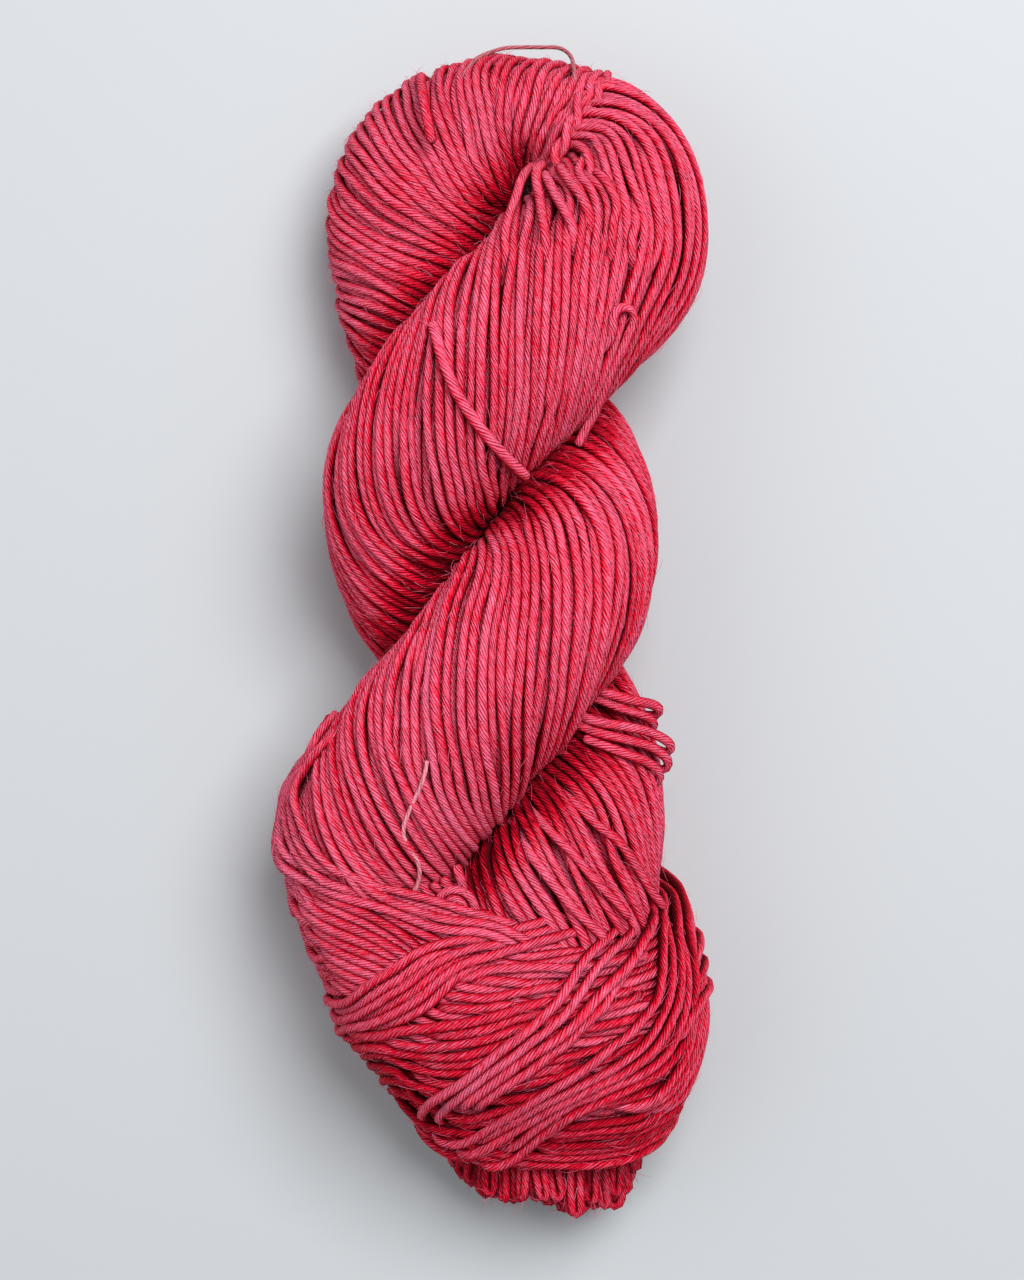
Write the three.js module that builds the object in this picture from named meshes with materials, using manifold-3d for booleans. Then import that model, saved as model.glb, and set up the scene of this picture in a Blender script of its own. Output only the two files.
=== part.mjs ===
// A twisted hank of hand-dyed cotton yarn, lying flat. Millimetres, +Z up, long side along Y.
// One long loop of yarn is folded at the top and twisted into a rope of two plies. The second
// ply ends in an open loop at the foot, the ring, and the first ply's ends come out through it
// as a tuft. The surface that the hank lies on is z = 0.
import * as THREE from 'three';
import { mergeVertices } from 'three/addons/utils/BufferGeometryUtils.js';
import Module from 'manifold-3d';

const wasm = await Module();
wasm.setup();

// Driving dimensions
const strandDiameter = 2.4;
const tieDiameter = 0.9;
const fitGap = 0.35; // between a cord and the bed that it lies in

// The plies: one route from the tuft, up, over the arch and down to the ring
const plyRidges = 18;
const plyRidgeDepth = 1.9; // where the strands run along the route; steeper lays bring ridges closer
const plyStations = 112;
const archTightest = 0.88; // the inner side of a bend stays within this share of its radius

// The ring round the foot
const ringRidges = 11;
const ringRidgeDepth = 1.3;
const ringPointsRound = 44;
const ringRoundness = 2.35; // 2 is an ellipse, more is squarer
const ringSideShare = 0.46; // height of its sides, as a share of its front's height
const lipInset = 0.85; // the mouth narrows to this share inside the rim
const lipDepth = 7;
const footInset = 0.8;

const cordSides = 8;
const cordStepDiameters = 2.5;
const floorBlock = new THREE.Vector3(400, 400, 40);
// The tables below are laid out from a point near the middle; this moves them so that the
// origin is the middle of the whole outline, on the surface
const toOrigin = new THREE.Vector3(-0.2, 2.3, 0);

const plySections = named(
  ['x', 'y', 'z', 'halfWidth', 'halfHeight', 'lay'], // lay: angle of the strands to the route, degrees
  [
    [11, -130, 11, 15.5, 9.5, 8], // the tuft's ends
    [11, -126, 12.5, 18.5, 12, 8],
    [11, -113, 20, 20.5, 16, 12],
    [12.5, -91.5, 28, 21.5, 17.5, 20], // inside the ring
    [13.5, -71.5, 30, 22.5, 18, 30],
    [14.5, -53.5, 29, 22, 18.5, 38], // the lower right lobe
    [17, -36, 25, 20, 19, 42],
    [12.5, -19, 19, 18.5, 18, 44], // passes behind the middle lobe
    [-1.5, -5, 17, 19, 18, 44],
    [-14, 10, 21, 19.5, 19, 42],
    [-18, 26, 29, 19.5, 21, 40],
    [-12, 40.5, 39, 20.5, 20, 44],
    [0, 54.5, 43, 21.5, 19.5, 50], // the upper lobe, in front
    [13, 68.5, 41, 21, 20, 46],
    [23.6, 82, 33, 21.3, 22, 28],
    [26.8, 95.5, 26, 17.2, 21, 14],
    [21.3, 106.4, 19.5, 15.9, 18.5, 40],
    [11.8, 112.3, 17, 13.5, 17.5, 62], // the top of the arch
    [0.3, 112.5, 16.5, 14.7, 17.5, 68],
    [-11, 104.3, 17, 19.6, 18, 68],
    [-16.2, 92.5, 17, 21.3, 18, 66],
    [-14.6, 76, 16.5, 21.5, 17.5, 62],
    [-10.5, 60.5, 16.5, 20.5, 17.5, 56], // passes behind the upper lobe
    [1, 47, 17, 19.5, 18, 50],
    [12, 35, 21, 19, 19, 46],
    [16.5, 21.5, 29, 18.5, 21, 42],
    [12.5, 7.5, 39, 20, 20, 40],
    [2.5, -6.5, 43, 20.5, 19.5, 42], // the middle lobe, in front
    [-8.5, -20.5, 42, 21, 19.5, 52],
    [-19.5, -35.5, 37, 20.5, 19, 62],
    [-27, -49, 30, 19, 18, 62],
    [-30, -64, 22, 14, 15, 60], // goes into the ring
  ],
);
// The route is made in lengths that don't cross themselves; these rows start the second and third
const plySplits = [12, 18];

const ringSections = named(
  ['leftX', 'leftY', 'frontX', 'frontY', 'frontZ', 'rightX', 'rightY'],
  [
    [-48, -46.5, -3, -65, 50, 43, -62], // the rim
    [-46, -60, 1, -75, 56, 46.5, -74.5],
    [-39.5, -77.5, 5, -86.5, 57, 48, -86],
    [-32, -91, 7.5, -100, 51, 45, -98],
    [-16, -112, 10.5, -117, 35, 38, -112.5], // the foot
  ],
);

// Free cords: a row for each point along the route, from the end that comes out of the hank
const looseEndRoute = named(
  ['x', 'y', 'z'],
  [
    [-13, 62.5, 56.6],
    [-12, 59.2, 59.2],
    [-11.2, 56, 60.8],
    [-9.9, 52.4, 61.9],
    [-8.1, 48.2, 62.2],
    [-5.8, 44.5, 61.9],
    [-3.1, 40.9, 60.9],
    [-0.2, 37.5, 59],
    [2.5, 34.8, 56.2],
    [5, 32.6, 52.4],
    [6.2, 31.6, 49.6],
  ],
);
const topTieRoute = named(
  ['x', 'y', 'z'],
  [
    [-7.6, 119.6, 29.6],
    [-6, 122.3, 28.2],
    [-4, 124.8, 26],
    [-1.2, 126.6, 23.4],
    [2, 127.9, 21.6],
    [6, 128.2, 21],
    [10, 128.2, 21],
    [13.5, 128, 21.6],
    [15.6, 126.6, 23.6],
    [16.7, 124.3, 26.6],
    [17, 121.6, 29.6],
    [17.1, 118.6, 32.2],
  ],
);
const sideTieRoute = named(
  ['x', 'y', 'z'],
  [
    [-14.1, -28.2, 60.1],
    [-14.6, -30.8, 59.7],
    [-15.5, -33.4, 59],
    [-17, -36.6, 57.7],
    [-18.2, -39.3, 56.6],
    [-19.1, -42, 55.4],
    [-19, -44.6, 54],
    [-17.8, -47, 52.7],
    [-16.4, -49.6, 51.1],
    [-16, -52.2, 49.3],
    [-16.6, -54.9, 47.2],
    [-18, -57.2, 46],
    [-20.2, -58.7, 45.6],
  ],
);

function named(columns, rows) {
  return rows.map((row) => Object.fromEntries(columns.map((name, i) => [name, row[i]])));
}

function throughRows(rows, columns) {
  const points = rows.map((row) => new THREE.Vector3(...columns.map((name) => row[name] ?? 0)));
  const curve = new THREE.CatmullRomCurve3(points, false, 'catmullrom');
  curve.arcLengthDivisions = 1500;
  return curve;
}

// Stations at even distances along the plies: each has a centre, side and up directions, half
// sizes, and the turn that the strands have made round the ply so far.
function makePlyStations() {
  const place = throughRows(plySections, ['x', 'y', 'z']);
  const size = throughRows(plySections, ['halfWidth', 'halfHeight', 'lay']);
  const step = place.getLength() / plyStations;
  const worldUp = new THREE.Vector3(0, 0, 1);
  const stations = [];
  let turn = 0;
  for (let i = 0; i <= plyStations; i += 1) {
    const t = place.getUtoTmapping(i / plyStations);
    const along = place.getTangent(t);
    const side = along.clone().cross(worldUp).normalize();
    const up = side.clone().cross(along);
    const [halfWidth, halfHeight, lay] = size.getPoint(t).toArray();
    const layAngle = THREE.MathUtils.degToRad(lay);
    turn += (Math.tan(layAngle) / ((halfWidth + halfHeight) / 2)) * step;
    stations.push({
      row: t * (plySections.length - 1),
      centre: place.getPoint(t),
      along,
      side,
      up,
      halfWidth,
      halfHeight,
      turn,
      ridgeDepth: plyRidgeDepth * Math.cos(layAngle),
    });
  }
  limitInnerSides(stations, step);
  return stations;
}

// On a bend the inner side is no wider than the bend's radius allows
function limitInnerSides(stations, step) {
  stations.forEach((station, i) => {
    const before = stations[Math.max(i - 1, 0)].along;
    const after = stations[Math.min(i + 1, stations.length - 1)].along;
    const heading = Math.atan2(before.x * after.y - before.y * after.x, before.x * after.x + before.y * after.y);
    const limit = archTightest * (2 * step) / Math.max(Math.abs(heading), 1e-6);
    const inner = Math.min(station.halfWidth, limit);
    station.leftWidth = heading > 0 ? inner : station.halfWidth;
    station.rightWidth = heading < 0 ? inner : station.halfWidth;
  });
}

// A closed body from rows of points: each row is a ring of the same number of points, and both
// end rows are closed by a fan.
function loft(rows) {
  const count = rows[0].length;
  const positions = rows.flat().flatMap((point) => point.toArray());
  const faces = [];
  for (let i = 0; i + 1 < rows.length; i += 1) {
    for (let j = 0; j < count; j += 1) {
      const next = (j + 1) % count;
      const [a, b, c, d] = [i * count + j, i * count + next, (i + 1) * count + next, (i + 1) * count + j];
      faces.push(a, d, b, b, d, c);
    }
  }
  for (const end of [0, rows.length - 1]) {
    const middle = rows[end].reduce((sum, point) => sum.add(point), new THREE.Vector3()).divideScalar(count);
    const middleIndex = positions.length / 3;
    positions.push(...middle.toArray());
    for (let j = 0; j < count; j += 1) {
      const [a, b] = [end * count + j, end * count + ((j + 1) % count)];
      faces.push(middleIndex, ...(end === 0 ? [a, b] : [b, a]));
    }
  }
  const geometry = new THREE.BufferGeometry();
  geometry.setAttribute('position', new THREE.Float32BufferAttribute(positions, 3));
  geometry.setIndex(faces);
  return geometry;
}

// One length of ply: its ridges keep their place among the strands, so they turn with the lay
function plyLength(stations) {
  const count = plyRidges * 2;
  const rows = stations.map((station) => {
    const ring = [];
    for (let j = 0; j < count; j += 1) {
      const angle = (j / count) * 2 * Math.PI + station.turn;
      const dip = j % 2 ? station.ridgeDepth : 0;
      const across = Math.cos(angle);
      const halfWidth = across > 0 ? station.rightWidth : station.leftWidth;
      ring.push(station.centre.clone()
        .addScaledVector(station.side, across * (halfWidth - dip))
        .addScaledVector(station.up, Math.sin(angle) * (station.halfHeight - dip)));
    }
    return ring;
  });
  return loft(rows);
}

// The ring's outline at one place along its band: a rounded square through its left, front and
// right points, the same below as above
function ringOutline(curves, t, scale, shiftY) {
  const { left, front, right } = Object.fromEntries(
    Object.entries(curves).map(([name, curve]) => [name, curve.getPoint(t)]),
  );
  const sideHeight = front.z * ringSideShare;
  const middle = left.clone().add(right).divideScalar(2).setZ(sideHeight);
  const toRight = right.clone().sub(left).divideScalar(2).setZ(0);
  const toFront = new THREE.Vector3(0, front.y - middle.y, front.z - sideHeight);
  const outline = [];
  for (let j = 0; j < ringPointsRound; j += 1) {
    const angle = -(j / ringPointsRound) * 2 * Math.PI;
    const [c, s] = [Math.cos(angle), Math.sin(angle)];
    const reach = (Math.abs(c) ** ringRoundness + Math.abs(s) ** ringRoundness) ** (-1 / ringRoundness);
    outline.push(middle.clone()
      .addScaledVector(toRight, c * reach * scale)
      .addScaledVector(toFront, s * reach * scale)
      .add(new THREE.Vector3(0, shiftY, 0)));
  }
  return outline;
}

function ringBody() {
  const curves = {
    left: throughRows(ringSections, ['leftX', 'leftY']),
    front: throughRows(ringSections, ['frontX', 'frontY', 'frontZ']),
    right: throughRows(ringSections, ['rightX', 'rightY']),
  };
  const ridged = ringRidges * 2;
  const halfWide = (ringSections[2].rightX - ringSections[2].leftX) / 2;
  const rows = [ringOutline(curves, 0, lipInset, -lipDepth)];
  for (let k = 0; k <= ridged; k += 1) {
    const dip = k % 2 ? 0 : ringRidgeDepth;
    rows.push(ringOutline(curves, k / ridged, 1 - dip / halfWide, 0));
  }
  rows.push(ringOutline(curves, 1, footInset, 0));
  return loft(rows);
}

// A cord along its route: a section with few sides on a smooth curve
function cordGeometry(route, diameter) {
  const curve = new THREE.CatmullRomCurve3(route.map(({ x, y, z }) => new THREE.Vector3(x, y, z)));
  const section = new THREE.Shape();
  for (let j = 0; j < cordSides; j += 1) {
    const angle = (j / cordSides) * 2 * Math.PI;
    const [x, y] = [Math.cos(angle) * diameter / 2, Math.sin(angle) * diameter / 2];
    if (j === 0) section.moveTo(x, y);
    else section.lineTo(x, y);
  }
  section.closePath();
  const steps = Math.max(12, Math.round(curve.getLength() / (diameter * cordStepDiameters)));
  return new THREE.ExtrudeGeometry(section, { extrudePath: curve, steps, bevelEnabled: false });
}

// The same route, longer by a little at both ends
function lengthened(route, extra) {
  const points = route.map(({ x, y, z }) => new THREE.Vector3(x, y, z));
  for (const [end, next] of [[0, 1], [points.length - 1, points.length - 2]]) {
    const outward = points[end].clone().sub(points[next]).normalize();
    points[end].addScaledVector(outward, extra);
  }
  return points;
}

function toSolid(geometry) {
  const bare = geometry.clone();
  bare.deleteAttribute('normal');
  bare.deleteAttribute('uv');
  const merged = mergeVertices(bare, 1e-4);
  return new wasm.Manifold(new wasm.Mesh({
    numProp: 3,
    vertProperties: new Float32Array(merged.attributes.position.array),
    triVerts: new Uint32Array(merged.index.array),
  }));
}

function toGeometry(solid) {
  const { vertProperties, triVerts } = solid.getMesh();
  const geometry = new THREE.BufferGeometry();
  geometry.setAttribute('position', new THREE.BufferAttribute(vertProperties, 3));
  geometry.setIndex(new THREE.BufferAttribute(triVerts, 1));
  geometry.computeVertexNormals();
  return geometry;
}

// The hank: the ply lengths and the ring joined, flat where they rest, with a bed for each cord
function hankGeometry(cords) {
  const stations = makePlyStations();
  const starts = [0, ...plySplits.map((row) => stations.findIndex((station) => station.row >= row)),
    stations.length - 1];
  let solid = toSolid(ringBody());
  for (let i = 0; i + 1 < starts.length; i += 1) {
    solid = solid.add(toSolid(plyLength(stations.slice(starts[i], starts[i + 1] + 1))));
  }
  const below = new THREE.BoxGeometry(...floorBlock.toArray()).translate(0, 0, -floorBlock.z / 2);
  solid = solid.subtract(toSolid(below));
  for (const { route, diameter } of cords) {
    solid = solid.subtract(toSolid(cordGeometry(lengthened(route, fitGap), diameter + 2 * fitGap)));
  }
  return toGeometry(outerBody(solid));
}

// Yarn fills the pockets that the plies and the ring close off, so the outermost body is kept
function outerBody(solid) {
  return solid.decompose().reduce((kept, body) => (body.volume() > kept.volume() ? body : kept));
}

const cords = [
  { name: 'loose_end', route: looseEndRoute, diameter: strandDiameter, colour: 0xe4607c },
  { name: 'tie_top', route: topTieRoute, diameter: tieDiameter, colour: 0x9a4a55 },
  { name: 'tie_side', route: sideTieRoute, diameter: tieDiameter, colour: 0xd98a94 },
];

function addPiece(group, name, geometry, colour) {
  const material = new THREE.MeshStandardMaterial({ color: colour, roughness: 0.85, metalness: 0 });
  const mesh = new THREE.Mesh(geometry, material);
  mesh.name = name;
  group.add(mesh);
}

const hank = new THREE.Group();
hank.position.copy(toOrigin);
addPiece(hank, 'hank', hankGeometry(cords), 0xd23a58);
for (const { name, route, diameter, colour } of cords) {
  addPiece(hank, name, cordGeometry(route, diameter), colour);
}

export default hank;
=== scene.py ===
import math

import bpy
import numpy as np
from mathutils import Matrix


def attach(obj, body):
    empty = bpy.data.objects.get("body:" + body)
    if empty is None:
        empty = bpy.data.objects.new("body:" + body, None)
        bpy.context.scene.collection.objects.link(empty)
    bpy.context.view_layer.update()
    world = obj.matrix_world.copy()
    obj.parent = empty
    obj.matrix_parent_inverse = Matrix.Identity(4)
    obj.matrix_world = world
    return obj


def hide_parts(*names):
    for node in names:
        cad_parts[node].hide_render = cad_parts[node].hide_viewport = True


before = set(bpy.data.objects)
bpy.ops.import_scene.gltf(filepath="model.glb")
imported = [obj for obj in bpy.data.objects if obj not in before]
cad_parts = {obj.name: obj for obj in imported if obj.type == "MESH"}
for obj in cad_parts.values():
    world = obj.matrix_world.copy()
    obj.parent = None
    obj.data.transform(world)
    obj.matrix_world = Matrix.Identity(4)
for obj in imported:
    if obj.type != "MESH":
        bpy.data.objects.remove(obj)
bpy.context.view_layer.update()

# A twisted hank of hand-dyed cotton yarn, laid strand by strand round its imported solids.
# Shapes are worked out in millimetres in the hank's own layout and put into the meshes in metres.

metresPerMm = 0.001
toOrigin = np.array([-0.2, 2.3, 0.0])  # moves the layout so that its middle is the origin
strandWidth = 2.4
strandRadius = strandWidth / 2
upwards = np.array([0, 0, 1.0])
goldenShare = 0.618034  # its multiples, less their whole parts, spread evenly from 0 to 1
firmShare = 1.9  # strands side by side lie at least this many radii apart


def toMetres(points):
    # Layout point plus the shift to the origin, times a thousandth.
    return (np.asarray(points, float) + toOrigin) * metresPerMm


# Camera: straight above, as the photo is taken
cameraView = {"place": (0.0033, -0.0007, 0.620), "lens": 76.1, "sensor": 36.0}


def setCamera(view):
    data = bpy.data.cameras.new("overheadCamera")
    data.lens = view["lens"]
    data.sensor_width = view["sensor"]
    camera = bpy.data.objects.new("overheadCamera", data)
    camera.location = view["place"]
    bpy.context.scene.collection.objects.link(camera)
    bpy.context.scene.camera = camera


setCamera(cameraView)
print("camera set")


# Curves and sections

def smoothStep(x):
    # 0 below 0, 1 above 1, and 3x² − 2x³ between.
    x = np.clip(x, 0, 1)
    return x * x * (3 - 2 * x)


def eased(values, halfWidth):
    # Running mean over 2·halfWidth + 1 samples.
    kernel = np.ones(2 * halfWidth + 1) / (2 * halfWidth + 1)
    return np.convolve(np.pad(values, halfWidth, mode="edge"), kernel, "valid")


def throughRows(rows, perSpan):
    # Catmull-Rom curve through the rows, its ends mirrored, perSpan samples for each pair of rows.
    rows = np.asarray(rows, float)
    padded = np.vstack([2 * rows[0] - rows[1], rows, 2 * rows[-1] - rows[-2]])
    t = np.linspace(0, 1, perSpan, endpoint=False)[None, :, None]
    a, b, c, d = (padded[i:len(rows) - 1 + i, None] for i in range(4))
    spans = 0.5 * (2 * b + (c - a) * t + (2 * a - 5 * b + 4 * c - d) * t**2
                   + (3 * b - a - 3 * c + d) * t**3)
    return np.vstack([spans.reshape(-1, rows.shape[1]), rows[-1:]])


def lengthAlong(points):
    # Running sum of the distances between points.
    return np.concatenate([[0], np.cumsum(np.linalg.norm(np.diff(points, axis=0), axis=1))])


def sampled(at, along, values):
    # Each column of values, read at the given lengths.
    return np.stack([np.interp(at, along, values[:, k]) for k in range(values.shape[1])], -1)


def evenly(points, step, *others):
    # The curve's points, and what goes with them, at even distances of about step.
    along = lengthAlong(points)
    count = max(int(round(along[-1] / step)), 3) + 1
    at = np.linspace(0, along[-1], count)
    return [sampled(at, along, values) for values in (points, *others)]


def unit(vectors):
    return vectors / np.maximum(np.linalg.norm(vectors, axis=-1, keepdims=True), 1e-9)


def squareTo(along, vectors):
    # The vectors less their part along the path, at length 1.
    return unit(vectors - along * np.sum(vectors * along, -1, keepdims=True))


def roundTurn(degrees):
    # The angle from −180 to 180.
    return (degrees + 180) % 360 - 180


def wander(rng, rows, at, reach, size):
    # Smooth seeded noise: normal values at knots every reach, eased between, one row a strand.
    x = np.asarray(at, float) / reach
    x = x - x.min()
    low = x.astype(int)
    knots = rng.normal(0, size, (rows, low.max() + 2))
    ease = smoothStep(x - low)
    return knots[:, low] * (1 - ease) + knots[:, low + 1] * ease


def strand(path, outward, radius=strandRadius, tint=0.0, rise=0.0, paintedFoldShade=0.0):
    # One strand: its centreline, the outward direction at each point, its radius, its tint, how
    # far it may rise above its place and how far it lies in a fold, from 0 to 1, which is painted
    # as shade.
    path = np.asarray(path, float)
    return {"path": path, "outward": np.asarray(outward, float), "tint": tint, "rise": rise,
            "radius": np.broadcast_to(np.asarray(radius, float), len(path)),
            "paintedFoldShade": np.broadcast_to(np.asarray(paintedFoldShade, float), len(path))}


def tubeRings(path, outward, radius, sides):
    # Ring points: path + radius · (outward·cos a + across·sin a), outward square to the path.
    along = unit(np.gradient(path, axis=0))
    up = squareTo(along, outward)
    across = np.cross(along, up)
    a = np.arange(sides) * 2 * np.pi / sides + np.pi
    return path[:, None] + radius[:, None, None] * (
        up[:, None] * np.cos(a)[None, :, None] + across[:, None] * np.sin(a)[None, :, None])


def gridFaces(rows, sides, first):
    # Quads between neighbouring rings, wound so that they face outwards, and each corner's count
    # round the ring and along it.
    i, k = np.meshgrid(np.arange(rows - 1), np.arange(sides), indexing="ij")
    i, k = i.ravel(), k.ravel()
    nextK = (k + 1) % sides
    quads = np.stack([i * sides + k, i * sides + nextK,
                      (i + 1) * sides + nextK, (i + 1) * sides + k], -1)
    corners = np.stack([np.stack([k, i], -1), np.stack([k + 1, i], -1),
                        np.stack([k + 1, i + 1], -1), np.stack([k, i + 1], -1)], 1)
    return quads + first, corners


def endFaces(rows, sides, first):
    # One face on the first ring and one on the last, both facing outwards.
    around = np.arange(sides)
    return np.stack([first + around[::-1], first + (rows - 1) * sides + around])


def makeMesh(name, points, faceSets, uv=None, attributes=None):
    # A mesh from points in millimetres and arrays of faces, with values for each point; one
    # object at the origin.
    mesh = bpy.data.meshes.new(name)
    corners = np.concatenate([faces.ravel() for faces in faceSets]).astype(np.int32)
    sizes = np.concatenate([np.full(len(faces), faces.shape[1]) for faces in faceSets])
    starts = np.concatenate([[0], np.cumsum(sizes)[:-1]]).astype(np.int32)
    mesh.vertices.add(len(points))
    mesh.vertices.foreach_set("co", toMetres(points).astype(np.float32).ravel())
    mesh.loops.add(len(corners))
    mesh.loops.foreach_set("vertex_index", corners)
    mesh.polygons.add(len(sizes))
    mesh.polygons.foreach_set("loop_start", starts)
    mesh.polygons.foreach_set("use_smooth", np.ones(len(sizes), bool))
    mesh.update(calc_edges=True)
    if uv is not None:
        layer = mesh.uv_layers.new(name="alongStrand")
        layer.data.foreach_set("uv", uv.astype(np.float32).ravel())
    for key, values in (attributes or {}).items():
        attribute = mesh.attributes.new(key, "FLOAT", "POINT")
        attribute.data.foreach_set("value", values.astype(np.float32))
    mesh.validate()
    piece = bpy.data.objects.new(name, mesh)
    bpy.context.scene.collection.objects.link(piece)
    return piece


tubeEnds = {"length": 0.55, "width": 0.62}  # the ring past each end, in shares of the radius


def strandsMesh(name, strands, sides=8):
    # All strands of a piece in one mesh: a tube each, rounded off and closed at both ends.
    # UV: u once round the strand, v its length in strand widths. Attributes: tint, one value a
    # strand, which on the low and deep groups is painted shade, and the painted fold shade, which
    # is 1 deep in a fold.
    points, quads, caps, quadUv, capUv, tints, paintedFoldShades = ([] for _ in range(7))
    share = np.arange(sides) / sides
    first = 0
    for one in strands:
        path, radius = one["path"], one["radius"]
        past = unit(path[[0, -1]] - path[[1, -2]]) * radius[[0, -1], None] * tubeEnds["length"]
        path = np.vstack([path[0] + past[0], path, path[-1] + past[1]])
        outward = np.pad(one["outward"], ((1, 1), (0, 0)), mode="edge")
        narrow = radius[[0, -1]] * tubeEnds["width"]
        radius = np.concatenate([narrow[:1], radius, narrow[1:]])
        rows = len(path)
        faces, corners = gridFaces(rows, sides, first)
        v = lengthAlong(path) / strandWidth
        quads.append(faces)
        quadUv.append(np.stack([corners[..., 0] / sides, v[corners[..., 1]]], -1))
        caps.append(endFaces(rows, sides, first))
        capUv.append(np.stack([np.stack([share[::-1], np.zeros(sides)], -1),
                               np.stack([share, np.full(sides, v[-1])], -1)]))
        points.append(tubeRings(path, outward, radius, sides).reshape(-1, 3))
        tints.append(np.full(rows * sides, one["tint"]))
        paintedFoldShades.append(np.repeat(np.pad(one["paintedFoldShade"], 1, mode="edge"), sides))
        first += rows * sides
    uv = np.concatenate([np.concatenate(part).reshape(-1, 2) for part in (quadUv, capUv)])
    return makeMesh(name, np.concatenate(points), [np.concatenate(quads), np.concatenate(caps)],
                    uv, {"tint": np.concatenate(tints), "paintedFoldShade": np.concatenate(paintedFoldShades)})


# Free cords: the loose end on the upper lobe and two fine ties, each along its solid's route
freeCords = {
    "looseEnd": {
        "node": "loose_end", "slot": "yarn", "finish": "yarn", "width": 2.4, "length": 43,
        "farEnd": "bare", "tint": 0.75,
        "route": [  # x, y, z
            (-13, 62.5, 56.6), (-12, 59.2, 59.2), (-11.2, 56, 60.8), (-9.9, 52.4, 61.9),
            (-8.1, 48.2, 62.2), (-5.8, 44.5, 61.9), (-3.1, 40.9, 60.9), (-0.2, 37.5, 59),
            (2.5, 34.8, 56.2), (5, 32.6, 52.4), (6.2, 31.6, 49.6)],
    },
    "tieTop": {
        "node": "tie_top", "slot": "dusky_thread", "finish": "duskyThread", "width": 0.9,
        "length": 42, "farEnd": "object", "tint": 0.0,
        "route": [
            (-7.6, 119.6, 29.6), (-6, 122.3, 28.2), (-4, 124.8, 26), (-1.2, 126.6, 23.4),
            (2, 127.9, 21.6), (6, 128.2, 21), (10, 128.2, 21), (13.5, 128, 21.6),
            (15.6, 126.6, 23.6), (16.7, 124.3, 26.6), (17, 121.6, 29.6), (17.1, 118.6, 32.2)],
    },
    "tieSide": {
        "node": "tie_side", "slot": "pale_thread", "finish": "paleThread", "width": 0.9,
        "length": 37, "farEnd": "bare", "tint": 0.0,
        "route": [
            (-14.1, -28.2, 60.1), (-14.6, -30.8, 59.7), (-15.5, -33.4, 59), (-17, -36.6, 57.7),
            (-18.2, -39.3, 56.6), (-19.1, -42, 55.4), (-19, -44.6, 54), (-17.8, -47, 52.7),
            (-16.4, -49.6, 51.1), (-16, -52.2, 49.3), (-16.6, -54.9, 47.2), (-18, -57.2, 46),
            (-20.2, -58.7, 45.6)],
    },
}
# The painted round shading leaves a cord light on its outward side and shades the side away from
# it.
cordMesh = {"perSpan": 12, "ringsPerWidth": 3, "sides": 12, "outward": (0.3, 0.2, 1.0)}


def makeCord(name, cord):
    # A round tube along the curve through the route's points.
    fine = throughRows(cord["route"], cordMesh["perSpan"])
    path, = evenly(fine, cord["width"] / cordMesh["ringsPerWidth"])
    outward = np.tile(cordMesh["outward"], (len(path), 1))
    piece = strandsMesh(name, [strand(path, outward, cord["width"] / 2, cord["tint"])],
                        cordMesh["sides"])
    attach(piece, "root")
    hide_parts(cord["node"])
    return piece


cordPieces = {name: makeCord(name, cord) for name, cord in freeCords.items()}
print("free cords made")


# The plies: one route from the foot, over the arch and down to the ring, strands wound round it
plyRoute = {
    "rows": [  # x, y, z, half width, half height, lay of the strands to the route in degrees
        (11, -130, 11, 15.5, 9.5, 8), (11, -126, 12.5, 18.5, 12, 8), (11, -113, 20, 20.5, 16, 12),
        (12.5, -91.5, 28, 21.5, 17.5, 20), (13.5, -71.5, 30, 22.5, 18, 30),
        (14.5, -53.5, 29, 22, 18.5, 38), (17, -36, 25, 20, 19, 42), (12.5, -19, 19, 18.5, 18, 44),
        (-1.5, -5, 17, 19, 18, 44), (-14, 10, 21, 19.5, 19, 42), (-18, 26, 29, 19.5, 21, 40),
        (-12, 40.5, 39, 20.5, 20, 44), (0, 54.5, 43, 21.5, 19.5, 50), (13, 68.5, 41, 21, 20, 46),
        (23.6, 82, 33, 21.3, 22, 28), (26.8, 95.5, 26, 17.2, 21, 14),
        (21.3, 106.4, 19.5, 15.9, 18.5, 40), (11.8, 112.3, 17, 13.5, 17.5, 62),
        (0.3, 112.5, 16.5, 14.7, 17.5, 68), (-11, 104.3, 17, 19.6, 18, 68),
        (-16.2, 92.5, 17, 21.3, 18, 66), (-14.6, 76, 16.5, 21.5, 17.5, 62),
        (-10.5, 60.5, 16.5, 20.5, 17.5, 56), (1, 47, 17, 19.5, 18, 50), (12, 35, 21, 19, 19, 46),
        (16.5, 21.5, 29, 18.5, 21, 42), (12.5, 7.5, 39, 20, 20, 40),
        (2.5, -6.5, 43, 20.5, 19.5, 42), (-8.5, -20.5, 42, 21, 19.5, 52),
        (-19.5, -35.5, 37, 20.5, 19, 62), (-27, -49, 30, 19, 18, 62), (-30, -64, 22, 14, 15, 60)],
    "perSpan": 40,
    "step": 1.0,
    "tightest": 0.9,  # the inner side of a bend stays within this share of its radius
    "bendEase": 4,  # steps to either side over which the bend is averaged
    "narrowest": 0.5,
}


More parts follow.
